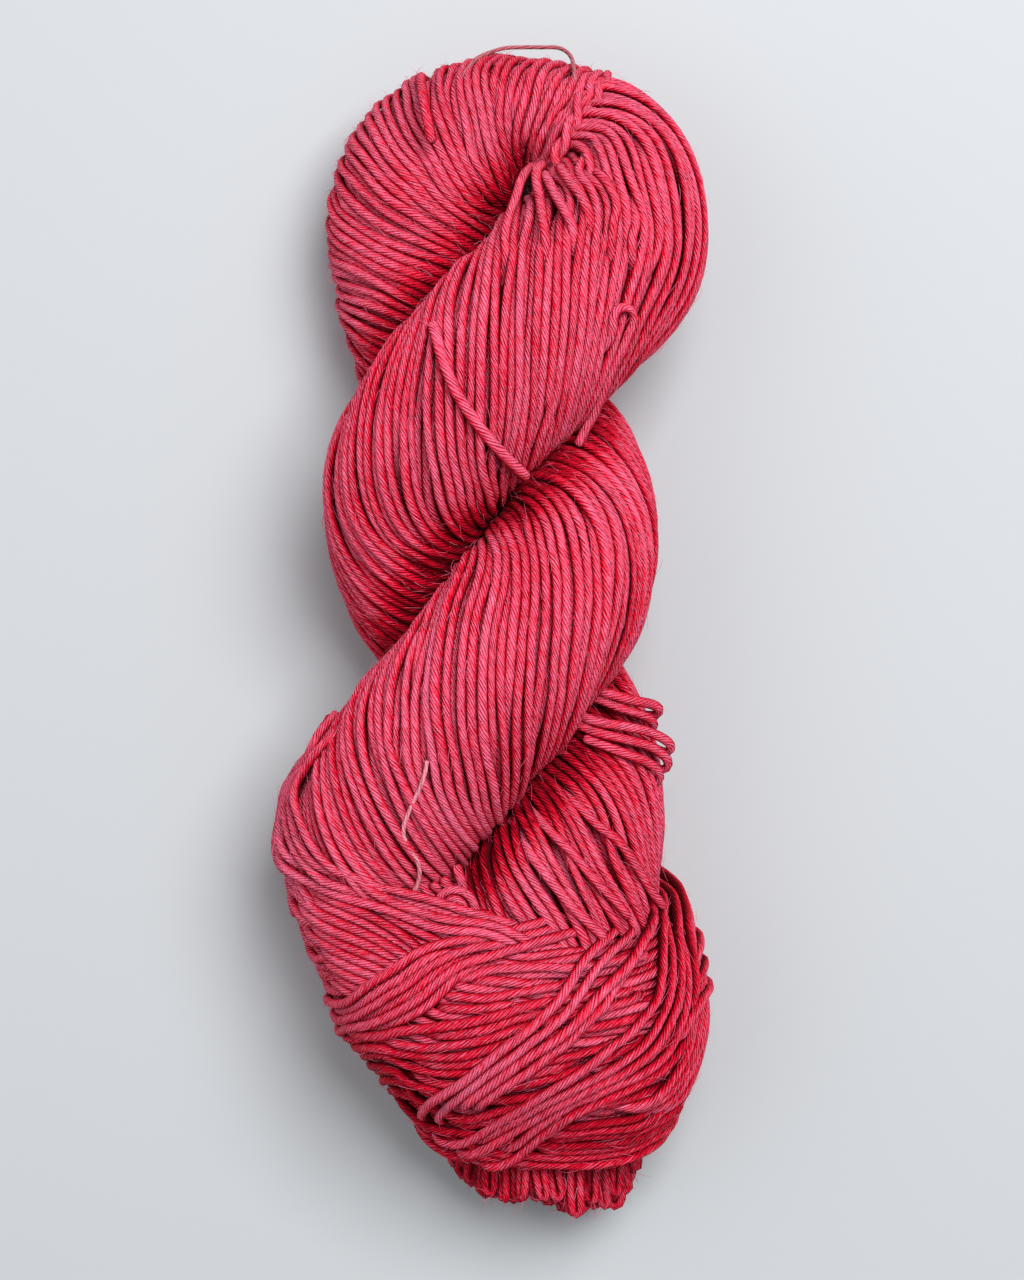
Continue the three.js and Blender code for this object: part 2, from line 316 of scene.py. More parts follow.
def layRoute(route):
    # Stations at even distances: centre, along, side = along × up, top = side × along, half
    # sizes, and the turn of the strands, whose rate is tan(lay) over the mean half size.
    fine = throughRows(route["rows"], route["perSpan"])
    centre, size = evenly(fine[:, :3], route["step"], fine[:, 3:])
    s = lengthAlong(centre)
    along = unit(np.gradient(centre, s, axis=0))
    side = unit(np.cross(along, upwards))
    halfWidth, halfHeight, lay = size[:, 0], size[:, 1], np.radians(size[:, 2])
    heading = np.unwrap(np.arctan2(along[:, 1], along[:, 0]))
    bend = eased(np.gradient(heading, s), route["bendEase"])
    limit = route["tightest"] / np.maximum(np.abs(bend), 1e-6)
    rate = np.tan(lay) / ((halfWidth + halfHeight) / 2)
    return {
        "s": s, "centre": centre, "along": along, "side": side, "top": np.cross(side, along),
        "left": np.where(bend > 0, np.minimum(halfWidth, limit), halfWidth),
        "right": np.where(bend < 0, np.minimum(halfWidth, limit), halfWidth),
        "height": halfHeight, "lay": lay,
        "turn": np.concatenate([[0], np.cumsum((rate[1:] + rate[:-1]) / 2 * np.diff(s))]),
    }


def readRoute(ply, s, *names):
    # The named values of the route at the lengths s.
    return [np.interp(s, ply["s"], ply[name]) if ply[name].ndim == 1 else
            sampled(s, ply["s"], ply[name]) for name in names]


def onPly(ply, s, angle, lift):
    # centre + side·cos(angle)·(half width + lift) + top·sin(angle)·(half height + lift), and the
    # oval's outward direction there.
    centre, side, top, left, right, height = readRoute(
        ply, s, "centre", "side", "top", "left", "right", "height")
    c, h = np.cos(angle), np.sin(angle)
    width = np.where(c > 0, right, left)
    point = (centre + side * (c * np.maximum(width + lift, plyRoute["narrowest"]))[..., None]
             + top * (h * (height + lift))[..., None])
    outward = unit(side * (c * height)[..., None] + top * (h * width)[..., None])
    return point, outward, centre


# Where plies meet, measured in half sizes of the ply that a point is pressed against
pressing = {
    "keepOff": 0.08,
    "window": 48.0,  # mm of a point's own ply, to either side of it, that don't count
    "coarse": 5,  # every fifth station is enough
    "atOnce": 4000,
    "least": 0.05, "halvings": 9,
    # The painted fold shade begins at the first distance and is darkest the second nearer.
    "fold": (1.66, 0.55),  # a fold begins at this distance and is deepest this much nearer
    "higher": 3,  # mm by which a ply lies higher to cover a point
}


def pressed(ply, points, centres, s):
    # Pulls points towards their own centre until they are nearer to it, in the oval's measure,
    # than to any other length of ply, found by halving; then lifts them clear of the floor. Also
    # gives how near they are to a ply that lies higher, 1 against it and 0 away from it, as the
    # painted fold shade.
    stations = {name: ply[name][::pressing["coarse"]] for name in
                ("s", "centre", "along", "side", "top", "left", "right", "height")}
    halfWidth = np.maximum(stations["left"], stations["right"])
    axes = (("side", halfWidth), ("top", stations["height"]), ("along", halfWidth))

    def nearest(q, ownS, above=None):
        # √(a² + b² + c²) to each station, each of its axes over its half size; the least of them.
        best = np.full(len(q), np.inf)
        for low in range(0, len(q), pressing["atOnce"]):
            part = slice(low, low + pressing["atOnce"])
            d = q[part, None] - stations["centre"][None]
            a, b, c = (np.einsum("mkx,kx->mk", d, stations[name]) / size for name, size in axes)
            skipped = np.abs(stations["s"][None] - ownS[part, None]) < pressing["window"]
            if above is not None:
                skipped |= stations["centre"][None, :, 2] < above[part, None] + pressing["higher"]
            best[part] = np.where(skipped, np.inf, np.sqrt(a * a + b * b + c * c)).min(1)
        return best

    shape = points.shape
    q, c = points.reshape(-1, 3), centres.reshape(-1, 3)
    ownS = np.broadcast_to(s, shape[:-1]).reshape(-1)
    reach = q - c
    hit = nearest(q, ownS) < 1 + pressing["keepOff"]
    shadeFrom, shadeOver = pressing["fold"]
    # How near a higher ply lies: the strand is darkened there as painted shade.
    paintedFoldShade = smoothStep((shadeFrom - nearest(q, ownS, c[:, 2])) / shadeOver)
    low, high = np.full(hit.sum(), pressing["least"]), np.ones(hit.sum())
    for _ in range(pressing["halvings"]):
        middle = (low + high) / 2
        distance = nearest(c[hit] + reach[hit] * middle[:, None], ownS[hit])
        clear = distance > middle + pressing["keepOff"]
        low = np.where(clear, middle, low)
        high = np.where(clear, high, middle)
    share = np.ones(len(q))
    share[hit] = low
    q = c + reach * share[:, None]
    q[:, 2] = softFloor(q[:, 2], strandRadius)
    return q.reshape(shape), paintedFoldShade.reshape(shape[:-1])


floorEase = 1.6  # how sharply strands level out above the floor


def softFloor(z, least):
    # No lower than least, and eased into it: least + ln(1 + e^(k·(z − least)))/k.
    return least + np.logaddexp(0, (z - least) * floorEase) / floorEase


# How strands find their places: they push one another apart and sink under their neighbours
settling = {
    "reach": 3.0,  # pairs of points are listed up to this distance
    "apart": 4,  # points of one strand pair up only past this many points between them
    "rounds": 66,
    "relist": 6,  # rounds between new lists
    "push": 1.5,
    "alike": 0.8,  # cosine past which two strands run alike
    "slid": 1.5,  # mm by which two points may lie past each other
    "nearest": 0.05,
    "ease": 0.45, "easings": 2,
    "giveBack": 0.02,  # share of its shift that a point gives back each round
    "keepFrom": 54,  # the round from which it gives nothing back
    "floor": 0.15,  # strands press into the surface that they lie on by this much
}


def nearPairs(points, line, place, style):
    # Pairs of points nearer than reach and not close together on one strand: the points are
    # sorted by cubes of that size, and each cube is matched with itself and half of its
    # neighbours.
    reach = style["reach"]
    cube = np.floor((points - points.min(0)) / reach).astype(np.int64) + 1
    size = cube.max(0) + 2
    key = (cube[:, 0] * size[1] + cube[:, 1]) * size[2] + cube[:, 2]
    order = np.argsort(key, kind="stable")
    key = key[order]
    number = np.arange(len(key))
    steps = [(0, 0, 0), (0, 0, 1), (0, 1, -1), (0, 1, 0), (0, 1, 1)]
    steps += [(1, y, z) for y in (-1, 0, 1) for z in (-1, 0, 1)]
    found = []
    for x, y, z in steps:
        shift = (x * size[1] + y) * size[2] + z
        low = np.searchsorted(key, key + shift, "left") if shift else number + 1
        count = np.maximum(np.searchsorted(key, key + shift, "right") - low, 0)
        second = np.arange(count.sum()) + np.repeat(low - (np.cumsum(count) - count), count)
        a, b = order[np.repeat(number, count)], order[second]
        near = np.sum((points[a] - points[b]) ** 2, -1) < reach**2
        other = (line[a] != line[b]) | (np.abs(place[a] - place[b]) > style["apart"])
        found.append(np.stack([a, b])[:, near & other])
    return np.concatenate(found, 1)


def settle(strands, style):
    # In each round every pair nearer than its two radii is pushed apart, half by each, square to
    # both strands where they run alike; shifts are eased along each strand, and none lets a
    # strand rise above its place by more than its own limit or sink through the floor.
    counts = [len(one["path"]) for one in strands]
    line = np.repeat(np.arange(len(strands)), counts)
    place = np.concatenate([np.arange(count) for count in counts])
    home = np.concatenate([one["path"] for one in strands])
    outward = unit(np.concatenate([one["outward"] for one in strands]))
    radius = np.concatenate([one["radius"] for one in strands])
    rise = np.repeat([one["rise"] for one in strands], counts)
    number = np.arange(len(line))
    before = np.where(place > 0, number - 1, number)
    after = np.where(place < np.repeat(counts, counts) - 1, number + 1, number)
    shift = np.zeros_like(home)

    def summed(index, values=None):
        return np.bincount(index, values, len(home))

    for turn in range(style["rounds"]):
        points = home + shift
        if turn % style["relist"] == 0:
            a, b = nearPairs(points, line, place, style)
            along = unit(points[after] - points[before])
            alike = np.sum(along[a] * along[b], -1)
            common = unit(along[a] + np.sign(alike)[:, None] * along[b])
            common[np.abs(alike) < style["alike"]] = 0
        between = points[b] - points[a]
        slid = np.sum(between * common, -1)
        between -= slid[:, None] * common
        distance = np.maximum(np.linalg.norm(between, axis=-1), style["nearest"])
        missing = radius[a] + radius[b] - distance
        hit = (missing > 0) & (np.abs(slid) < style["slid"])
        push = between[hit] * (missing[hit] / distance[hit] / 2)[:, None]
        hits = summed(a[hit]) + summed(b[hit])
        move = np.stack([summed(b[hit], part) - summed(a[hit], part) for part in push.T], -1)
        shift += style["push"] * move / np.maximum(hits, 1)[:, None]
        for _ in range(style["easings"]):
            shift += style["ease"] * ((shift[before] + shift[after]) / 2 - shift)
        if turn < style["keepFrom"]:
            shift *= 1 - style["giveBack"]
        risen = np.sum(shift * outward, -1)
        shift -= outward * np.maximum(risen - rise, 0)[:, None]
        shift[:, 2] = np.maximum(shift[:, 2], radius - style["floor"] - home[:, 2])
    settled = home + shift
    for one, start, count in zip(strands, np.cumsum(counts) - counts, counts):
        one["path"] = settled[start:start + count]


ply = layRoute(plyRoute)
print("route laid, %.0f mm" % ply["s"][-1])

# Strands wound round the plies. A wander or a lift is its reach along the strand in mm and its
# size, in radians or mm.
woundStrands = {
    "count": 60,
    "pitch": 1.97,  # as many strands show as fit at this distance, and the rest dive under them
    "step": 1.5,
    "radius": 0.985, "radiusSpread": 0.07, "thickness": (12, 0.055),
    "fitsEase": 18,  # steps over which the number that fits is averaged
    "dive": 2.1, "diveEase": 0.13, "diveWander": (46, 0.12), "leastRoom": 0.14,
    "groups": 10, "groupWander": (50, 0.12), "groupLift": (44, 0.5),  # shared by neighbours
    "ownWander": (24, 0.058), "ownLift": (24, 0.42),
    "tintSpread": 0.4,
    "upper": {"from": 34, "to": 304, "seamBelow": 284, "sinkFrom": -2.5, "end": 6},
    "lower": {"from": 322, "to": 521, "seamBelow": 356, "sinkFrom": -6, "start": -11},
    "sinkAtEnds": 2.6, "sinkOver": 6,
    "under": {"count": 40, "from": 34, "to": 521, "lift": -1.9, "step": 2.4, "wander": (50, 0.06)},
    "rise": 0.12,
    "leastPoints": 4,
    "seed": 11,
}

# The arch's fan: for each guide strand, the route length at these angles round the ply
fan = {
    "radius": 0.96, "pitch": 1.5,
    "degrees": (-70, 235.1, 3.4),  # from, to and step round the ply
    "rowLength": 1.2, "wander": (20, 0.4), "lift": (22, 0.25), "guideEase": 3,
    "angles": np.radians([-70, 0, 45, 90, 135, 180, 235]),
    "guides": np.array([
        (288, 288, 286.5, 280, 273, 268, 266), (290, 291, 291.5, 291.5, 294, 299, 303),
        (296, 299, 302, 305, 310, 316, 320), (301, 305, 309, 313.5, 321, 329, 334),
        (308, 311.5, 315, 320, 330, 339, 344), (312, 316, 319.5, 325.5, 338, 346, 350),
        (316, 320.5, 323.5, 328.5, 341, 349, 353), (320, 325, 327.5, 333, 346, 353, 357),
        (323, 328, 332, 339, 350, 357, 361), (327, 332, 338, 348, 356, 362, 366),
        (329, 334.5, 341.5, 353, 362, 368, 372), (337, 342.5, 346.5, 356.5, 366, 372, 376),
        (340, 346.5, 352, 360, 369, 374, 378), (343, 350.5, 359, 367, 373, 378, 382),
        (348, 355, 363, 371, 377, 382, 386)]),
}


def sharedNoise(rng, style, key, order, s):
    # Noise that neighbouring strands share: one smooth line a group, eased from group to group.
    groups = style["groups"]
    knots = wander(rng, groups, s, *style[key])
    at = order * groups / style["count"]
    low = at.astype(int)
    ease = smoothStep(at - low)[:, None]
    return knots[low % groups] * (1 - ease) + knots[(low + 1) % groups] * ease


def woundFamily(ply, style, reach, rng):
    # Helical strands: a strand that shows takes room 1 round the ply, and one that dives little;
    # angle = 2π · room before it / whole room + turn(s) + wander.
    count = style["count"]
    order = np.arange(count)
    s = np.arange(reach["from"], reach["to"], style["step"])
    turn, lay, left, right, height = readRoute(ply, s, "turn", "lay", "left", "right", "height")
    fits = eased(np.pi * ((left + right) / 2 + height) * np.cos(lay) / style["pitch"],
                 style["fitsEase"])
    rank = np.argsort(np.argsort((order * goldenShare) % 1.0)) / count
    spare = fits / count - rank[:, None] + wander(rng, count, s, *style["diveWander"])
    shown = smoothStep(spare / style["diveEase"] + 0.5)
    room = style["leastRoom"] + (1 - style["leastRoom"]) * shown
    angle = (2 * np.pi * (np.cumsum(room, 0) - room / 2) / room.sum(0) + turn
             + sharedNoise(rng, style, "groupWander", order, s)
             + wander(rng, count, s, *style["ownWander"]))
    lift = (-style["radius"] - style["dive"] * (1 - shown)
            + sharedNoise(rng, style, "groupLift", order, s)
            + wander(rng, count, s, *style["ownLift"]))
    return np.broadcast_to(s, angle.shape), angle, lift


def underFamily(ply, style, rng):
    # The layer below: even angles, turned as the route turns, with its own wander.
    under = style["under"]
    count = under["count"]
    s = np.arange(under["from"], under["to"], under["step"])
    turn, = readRoute(ply, s, "turn")
    angle = (np.arange(count)[:, None] * 2 * np.pi / count + turn
             + wander(rng, count, s, *under["wander"]))
    lift = np.full(angle.shape, under["lift"] - style["radius"])
    return np.broadcast_to(s, angle.shape), angle, lift


def stretches(mask):
    # First and last index of each run of True.
    edges = np.diff(np.concatenate([[0], mask.astype(int), [0]]))
    return list(zip(np.flatnonzero(edges == 1), np.flatnonzero(edges == -1)))


def familyStrands(ply, family, shown, radius, style, rng):
    # The shown stretches of each line as strands, pressed against the other plies and the floor;
    # each is a little thicker or thinner than the radius, and varies along its length.
    s, angle, lift = family
    points, outward, centres = onPly(ply, s, angle, lift)
    points, paintedFoldShade = pressed(ply, points, centres, s)
    tints = rng.normal(0, style["tintSpread"], len(points))
    steps = np.arange(points.shape[1]) * style["step"]
    radius = radius * (1 + rng.normal(0, style["radiusSpread"], len(points))[:, None]
                       + wander(rng, len(points), steps, *style["thickness"]))
    made = []
    for j in range(len(points)):
        for part in (slice(*ends) for ends in stretches(shown[j])):
            if part.stop - part.start > style["leastPoints"]:
                made.append(strand(points[j, part], outward[j, part], radius[j, part], tints[j],
                                   style["rise"], paintedFoldShade[j, part]))
    return made


def pastSeam(s, angle, guide, below):
    # How far past a fan guide, read at the angle, the route length is; below stands for it under
    # the ply.
    degrees = roundTurn(np.degrees(angle))
    seam = np.interp(degrees, np.degrees(fan["angles"]), guide)
    return s - np.where(degrees > fan["degrees"][0], seam, below)


def fanFamily(ply, rng):
    # The strands over the arch: even distances along its outer edge, leaning as the guides do.
    s = ply["s"]
    edge, _, _ = onPly(ply, s, np.zeros(len(s)), np.zeros(len(s)))
    edgeAlong = lengthAlong(edge)
    first, last = np.interp(fan["guides"][[0, -1], 1], s, edgeAlong)
    edgeS = np.interp(np.arange(first, last, fan["pitch"]), edgeAlong, s)
    degrees = np.arange(*fan["degrees"])
    guideS = np.stack([eased(np.interp(degrees, np.degrees(fan["angles"]), row), fan["guideEase"])
                       for row in fan["guides"]])
    zero = np.argmin(np.abs(degrees))
    fanS = np.stack([np.interp(edgeS, guideS[:, zero], column) for column in guideS.T], -1)
    rows = np.arange(len(degrees)) * fan["rowLength"]
    fanS = fanS + wander(rng, len(edgeS), rows, *fan["wander"])
    angle = np.broadcast_to(np.radians(degrees), fanS.shape)
    flat, _, _ = onPly(ply, fanS, angle, np.full(fanS.shape, -fan["radius"]))
    sink = sinkForSpacing(*gapsBetween(flat), np.arange(len(fanS)), fan["radius"] * firmShare)
    return fanS, angle, -fan["radius"] - sink + wander(rng, len(fanS), rows, *fan["lift"])


def gapsBetween(lines):
    # Each line's distance to the one before and the one after it, square to their direction.
    along = unit(np.gradient(lines, axis=1))
    step = np.diff(lines, axis=0)
    middle = unit(along[1:] + along[:-1])
    gap = np.linalg.norm(step - middle * np.sum(step * middle, -1, keepdims=True), axis=-1)
    return np.vstack([gap[:1], gap]), np.vstack([gap, gap[-1:]])


def sinkForSpacing(gapBefore, gapAfter, order, firm):
    # Neighbours closer than the firm width w lie at two depths: every second strand sinks by
    # √(w² − gap²), and every fourth also where even the next but one are too close.
    gap = np.minimum(gapBefore, gapAfter)
    one = np.sqrt(np.maximum(firm**2 - gap**2, 0))
    two = np.sqrt(np.maximum(firm**2 - (gapBefore + gapAfter) ** 2, 0))
    order = order[:, None]
    return np.where(order % 2 == 1, one + 0.5 * two, np.where(order % 4 == 2, two, 0))


def plyStrands(style):
    rng = np.random.default_rng(style["seed"])
    made = {}
    # From the foot to the seam on the arch, where these strands go under the fan
    upper = style["upper"]
    s, angle, lift = woundFamily(ply, style, upper, rng)
    past = pastSeam(s, angle, fan["guides"][0], upper["seamBelow"])
    sunk = smoothStep((past - upper["sinkFrom"]) / style["sinkOver"])
    family = s, angle, lift - style["sinkAtEnds"] * sunk
    shown = past < upper["end"]
    made["upperPly"] = familyStrands(ply, family, shown, style["radius"], style, rng)
    family = fanFamily(ply, rng)
    everywhere = np.ones(family[0].shape, bool)
    made["archFan"] = familyStrands(ply, family, everywhere, fan["radius"], style, rng)
    # From under the fan's last strands down to the ring
    lower = style["lower"]
    s, angle, lift = woundFamily(ply, style, lower, rng)
    past = pastSeam(s, angle, fan["guides"][-1], lower["seamBelow"])
    sunk = 1 - smoothStep((past - lower["sinkFrom"]) / style["sinkOver"])
    family = s, angle, lift - style["sinkAtEnds"] * sunk
    shown = past > lower["start"]
    made["lowerPly"] = familyStrands(ply, family, shown, style["radius"], style, rng)
    # A layer under them all
    family = underFamily(ply, style, rng)
    everywhere = np.ones(family[0].shape, bool)
    made["plyUnder"] = familyStrands(ply, family, everywhere, style["radius"], style, rng)
    return made


pieces = plyStrands(woundStrands)
print("ply strands laid:", {name: len(strands) for name, strands in pieces.items()})

plyCore = {"from": 27, "to": 522, "step": 2.0, "sunk": 3.9, "around": 40}


def sweptCore(style):
    # The body of yarn under the strands, coloured dark as painted shade: the ply's own oval, sunk
    # by a fixed depth.
    s = np.arange(style["from"], style["to"], style["step"])
    angle = np.arange(style["around"]) * 2 * np.pi / style["around"]
    s, angle = np.broadcast_arrays(s[:, None], angle)
    points, _, centres = onPly(ply, s, angle, np.full(s.shape, -style["sunk"]))
    return pressed(ply, points, centres, s)[0]


def coreMesh(name, parts):
    # Lofts in one mesh, each closed by a face at either end.
    allPoints, quads, caps = [], [], []
    first = 0
    for points in parts:
        rows, around = points.shape[:2]
        quads.append(gridFaces(rows, around, first)[0])
        caps.append(endFaces(rows, around, first))
        allPoints.append(points.reshape(-1, 3))
        first += rows * around
    return makeMesh(name, np.concatenate(allPoints), [np.concatenate(quads)] + caps)


coreParts = [sweptCore(plyCore)]
print("core laid")


# The ring round the foot: bands of strands laid one over another on its rounded form
ringForm = {
    "rows": [  # left x, y; front y, z; right x, y
        (-43.6, -31.9, -56.4, 42, 35.3, -54.5), (-48.4, -46.7, -65, 50, 42.8, -61.3),
        (-46.2, -60.1, -74.9, 56, 46.3, -74.4), (-39.5, -77.6, -86.3, 57, 47.8, -86),
        (-31.8, -91.2, -99.8, 51, 45, -97.8), (-17, -112, -117.2, 35, 38.3, -112.9)],
    "perSpan": 40,
    "roundness": 2.35,  # 2 is an ellipse, more is squarer
    "sideShare": 0.46,  # height of its sides, as a share of its front's height
    "length": 55,  # mm from its mouth to its foot
    "mouth": [  # angle round it, where the band begins there
        (-180, 0.09), (-160, 0.05), (-90, 0.1), (-20, 0.08), (0, 0.07), (25, 0.07), (45, 0.13),
        (60, 0.19), (80, 0.245), (110, 0.235), (117, 0.19), (130, 0.13), (162, 0.1), (180, 0.09)],
    "radius": 1.08, "radiusSpread": 0.05, "tintSpread": 0.4,
    "guideSpan": 16, "step": 1.5, "leastPoints": 6, "shares": 60,
    "layer": 1.9,  # how much deeper the strands under a layer lie
    "under": {"count": 27, "layers": 1.5, "wander": (50, 0.008), "degrees": (-184, 184.1, 8.0),
              "firstPlace": 0.3, "places": 26.6},
    "ownWander": (16, 0.35),  # reach and size in mm
    "dip": 6.0, "dipReach": 10.0,  # how far and over what length a strand's end goes under
    "rise": 0.15,
    "heart": (-5.0, -55.0, 22.0),  # strands over it sink towards this point
    "core": {"sunk": 6.0, "rows": 24, "degrees": (-180, 180, 6.0), "inset": 0.01,
             "mouthShare": 0.8, "mouthShift": (0, -8, 0), "floor": 1.0},
    "seed": 23,
}
ringFine = throughRows(ringForm["rows"], ringForm["perSpan"])


def onRing(band, angle, lift):
    # middle + toRight·cos(angle)·r + toFront·sin(angle)·r, with r = (|cos|ⁿ + |sin|ⁿ)^(−1/n), and
    # the direction away from the middle.
    at = np.clip(band, 0, 1) * (len(ringFine) - 1)
    leftX, leftY, frontY, frontZ, rightX, rightY = (
        np.interp(at, np.arange(len(ringFine)), column) for column in ringFine.T)
    sideZ = frontZ * ringForm["sideShare"]
    level = np.zeros_like(sideZ)
    middle = np.stack([(leftX + rightX) / 2, (leftY + rightY) / 2, sideZ], -1)
    toRight = np.stack([(rightX - leftX) / 2, (rightY - leftY) / 2, level], -1)
    toFront = np.stack([level, frontY - middle[..., 1], frontZ - sideZ], -1)
    n = ringForm["roundness"]
    c, h = np.cos(angle), np.sin(angle)
    reach = (np.abs(c) ** n + np.abs(h) ** n) ** (-1 / n)
    offset = toRight * (c * reach)[..., None] + toFront * (h * reach)[..., None]
    outward = unit(offset)
    return middle + offset + outward * np.asarray(lift)[..., None], outward


def ringPoints(lines):
    # Points on the ring's own surface for (angle in degrees, band).
    return onRing(lines[..., 1], np.radians(lines[..., 0]), np.zeros(lines.shape[:-1]))[0]


def mouthAt(degrees):
    # Where the band begins at each angle.
    return np.interp(roundTurn(degrees), *np.array(ringForm["mouth"]).T)
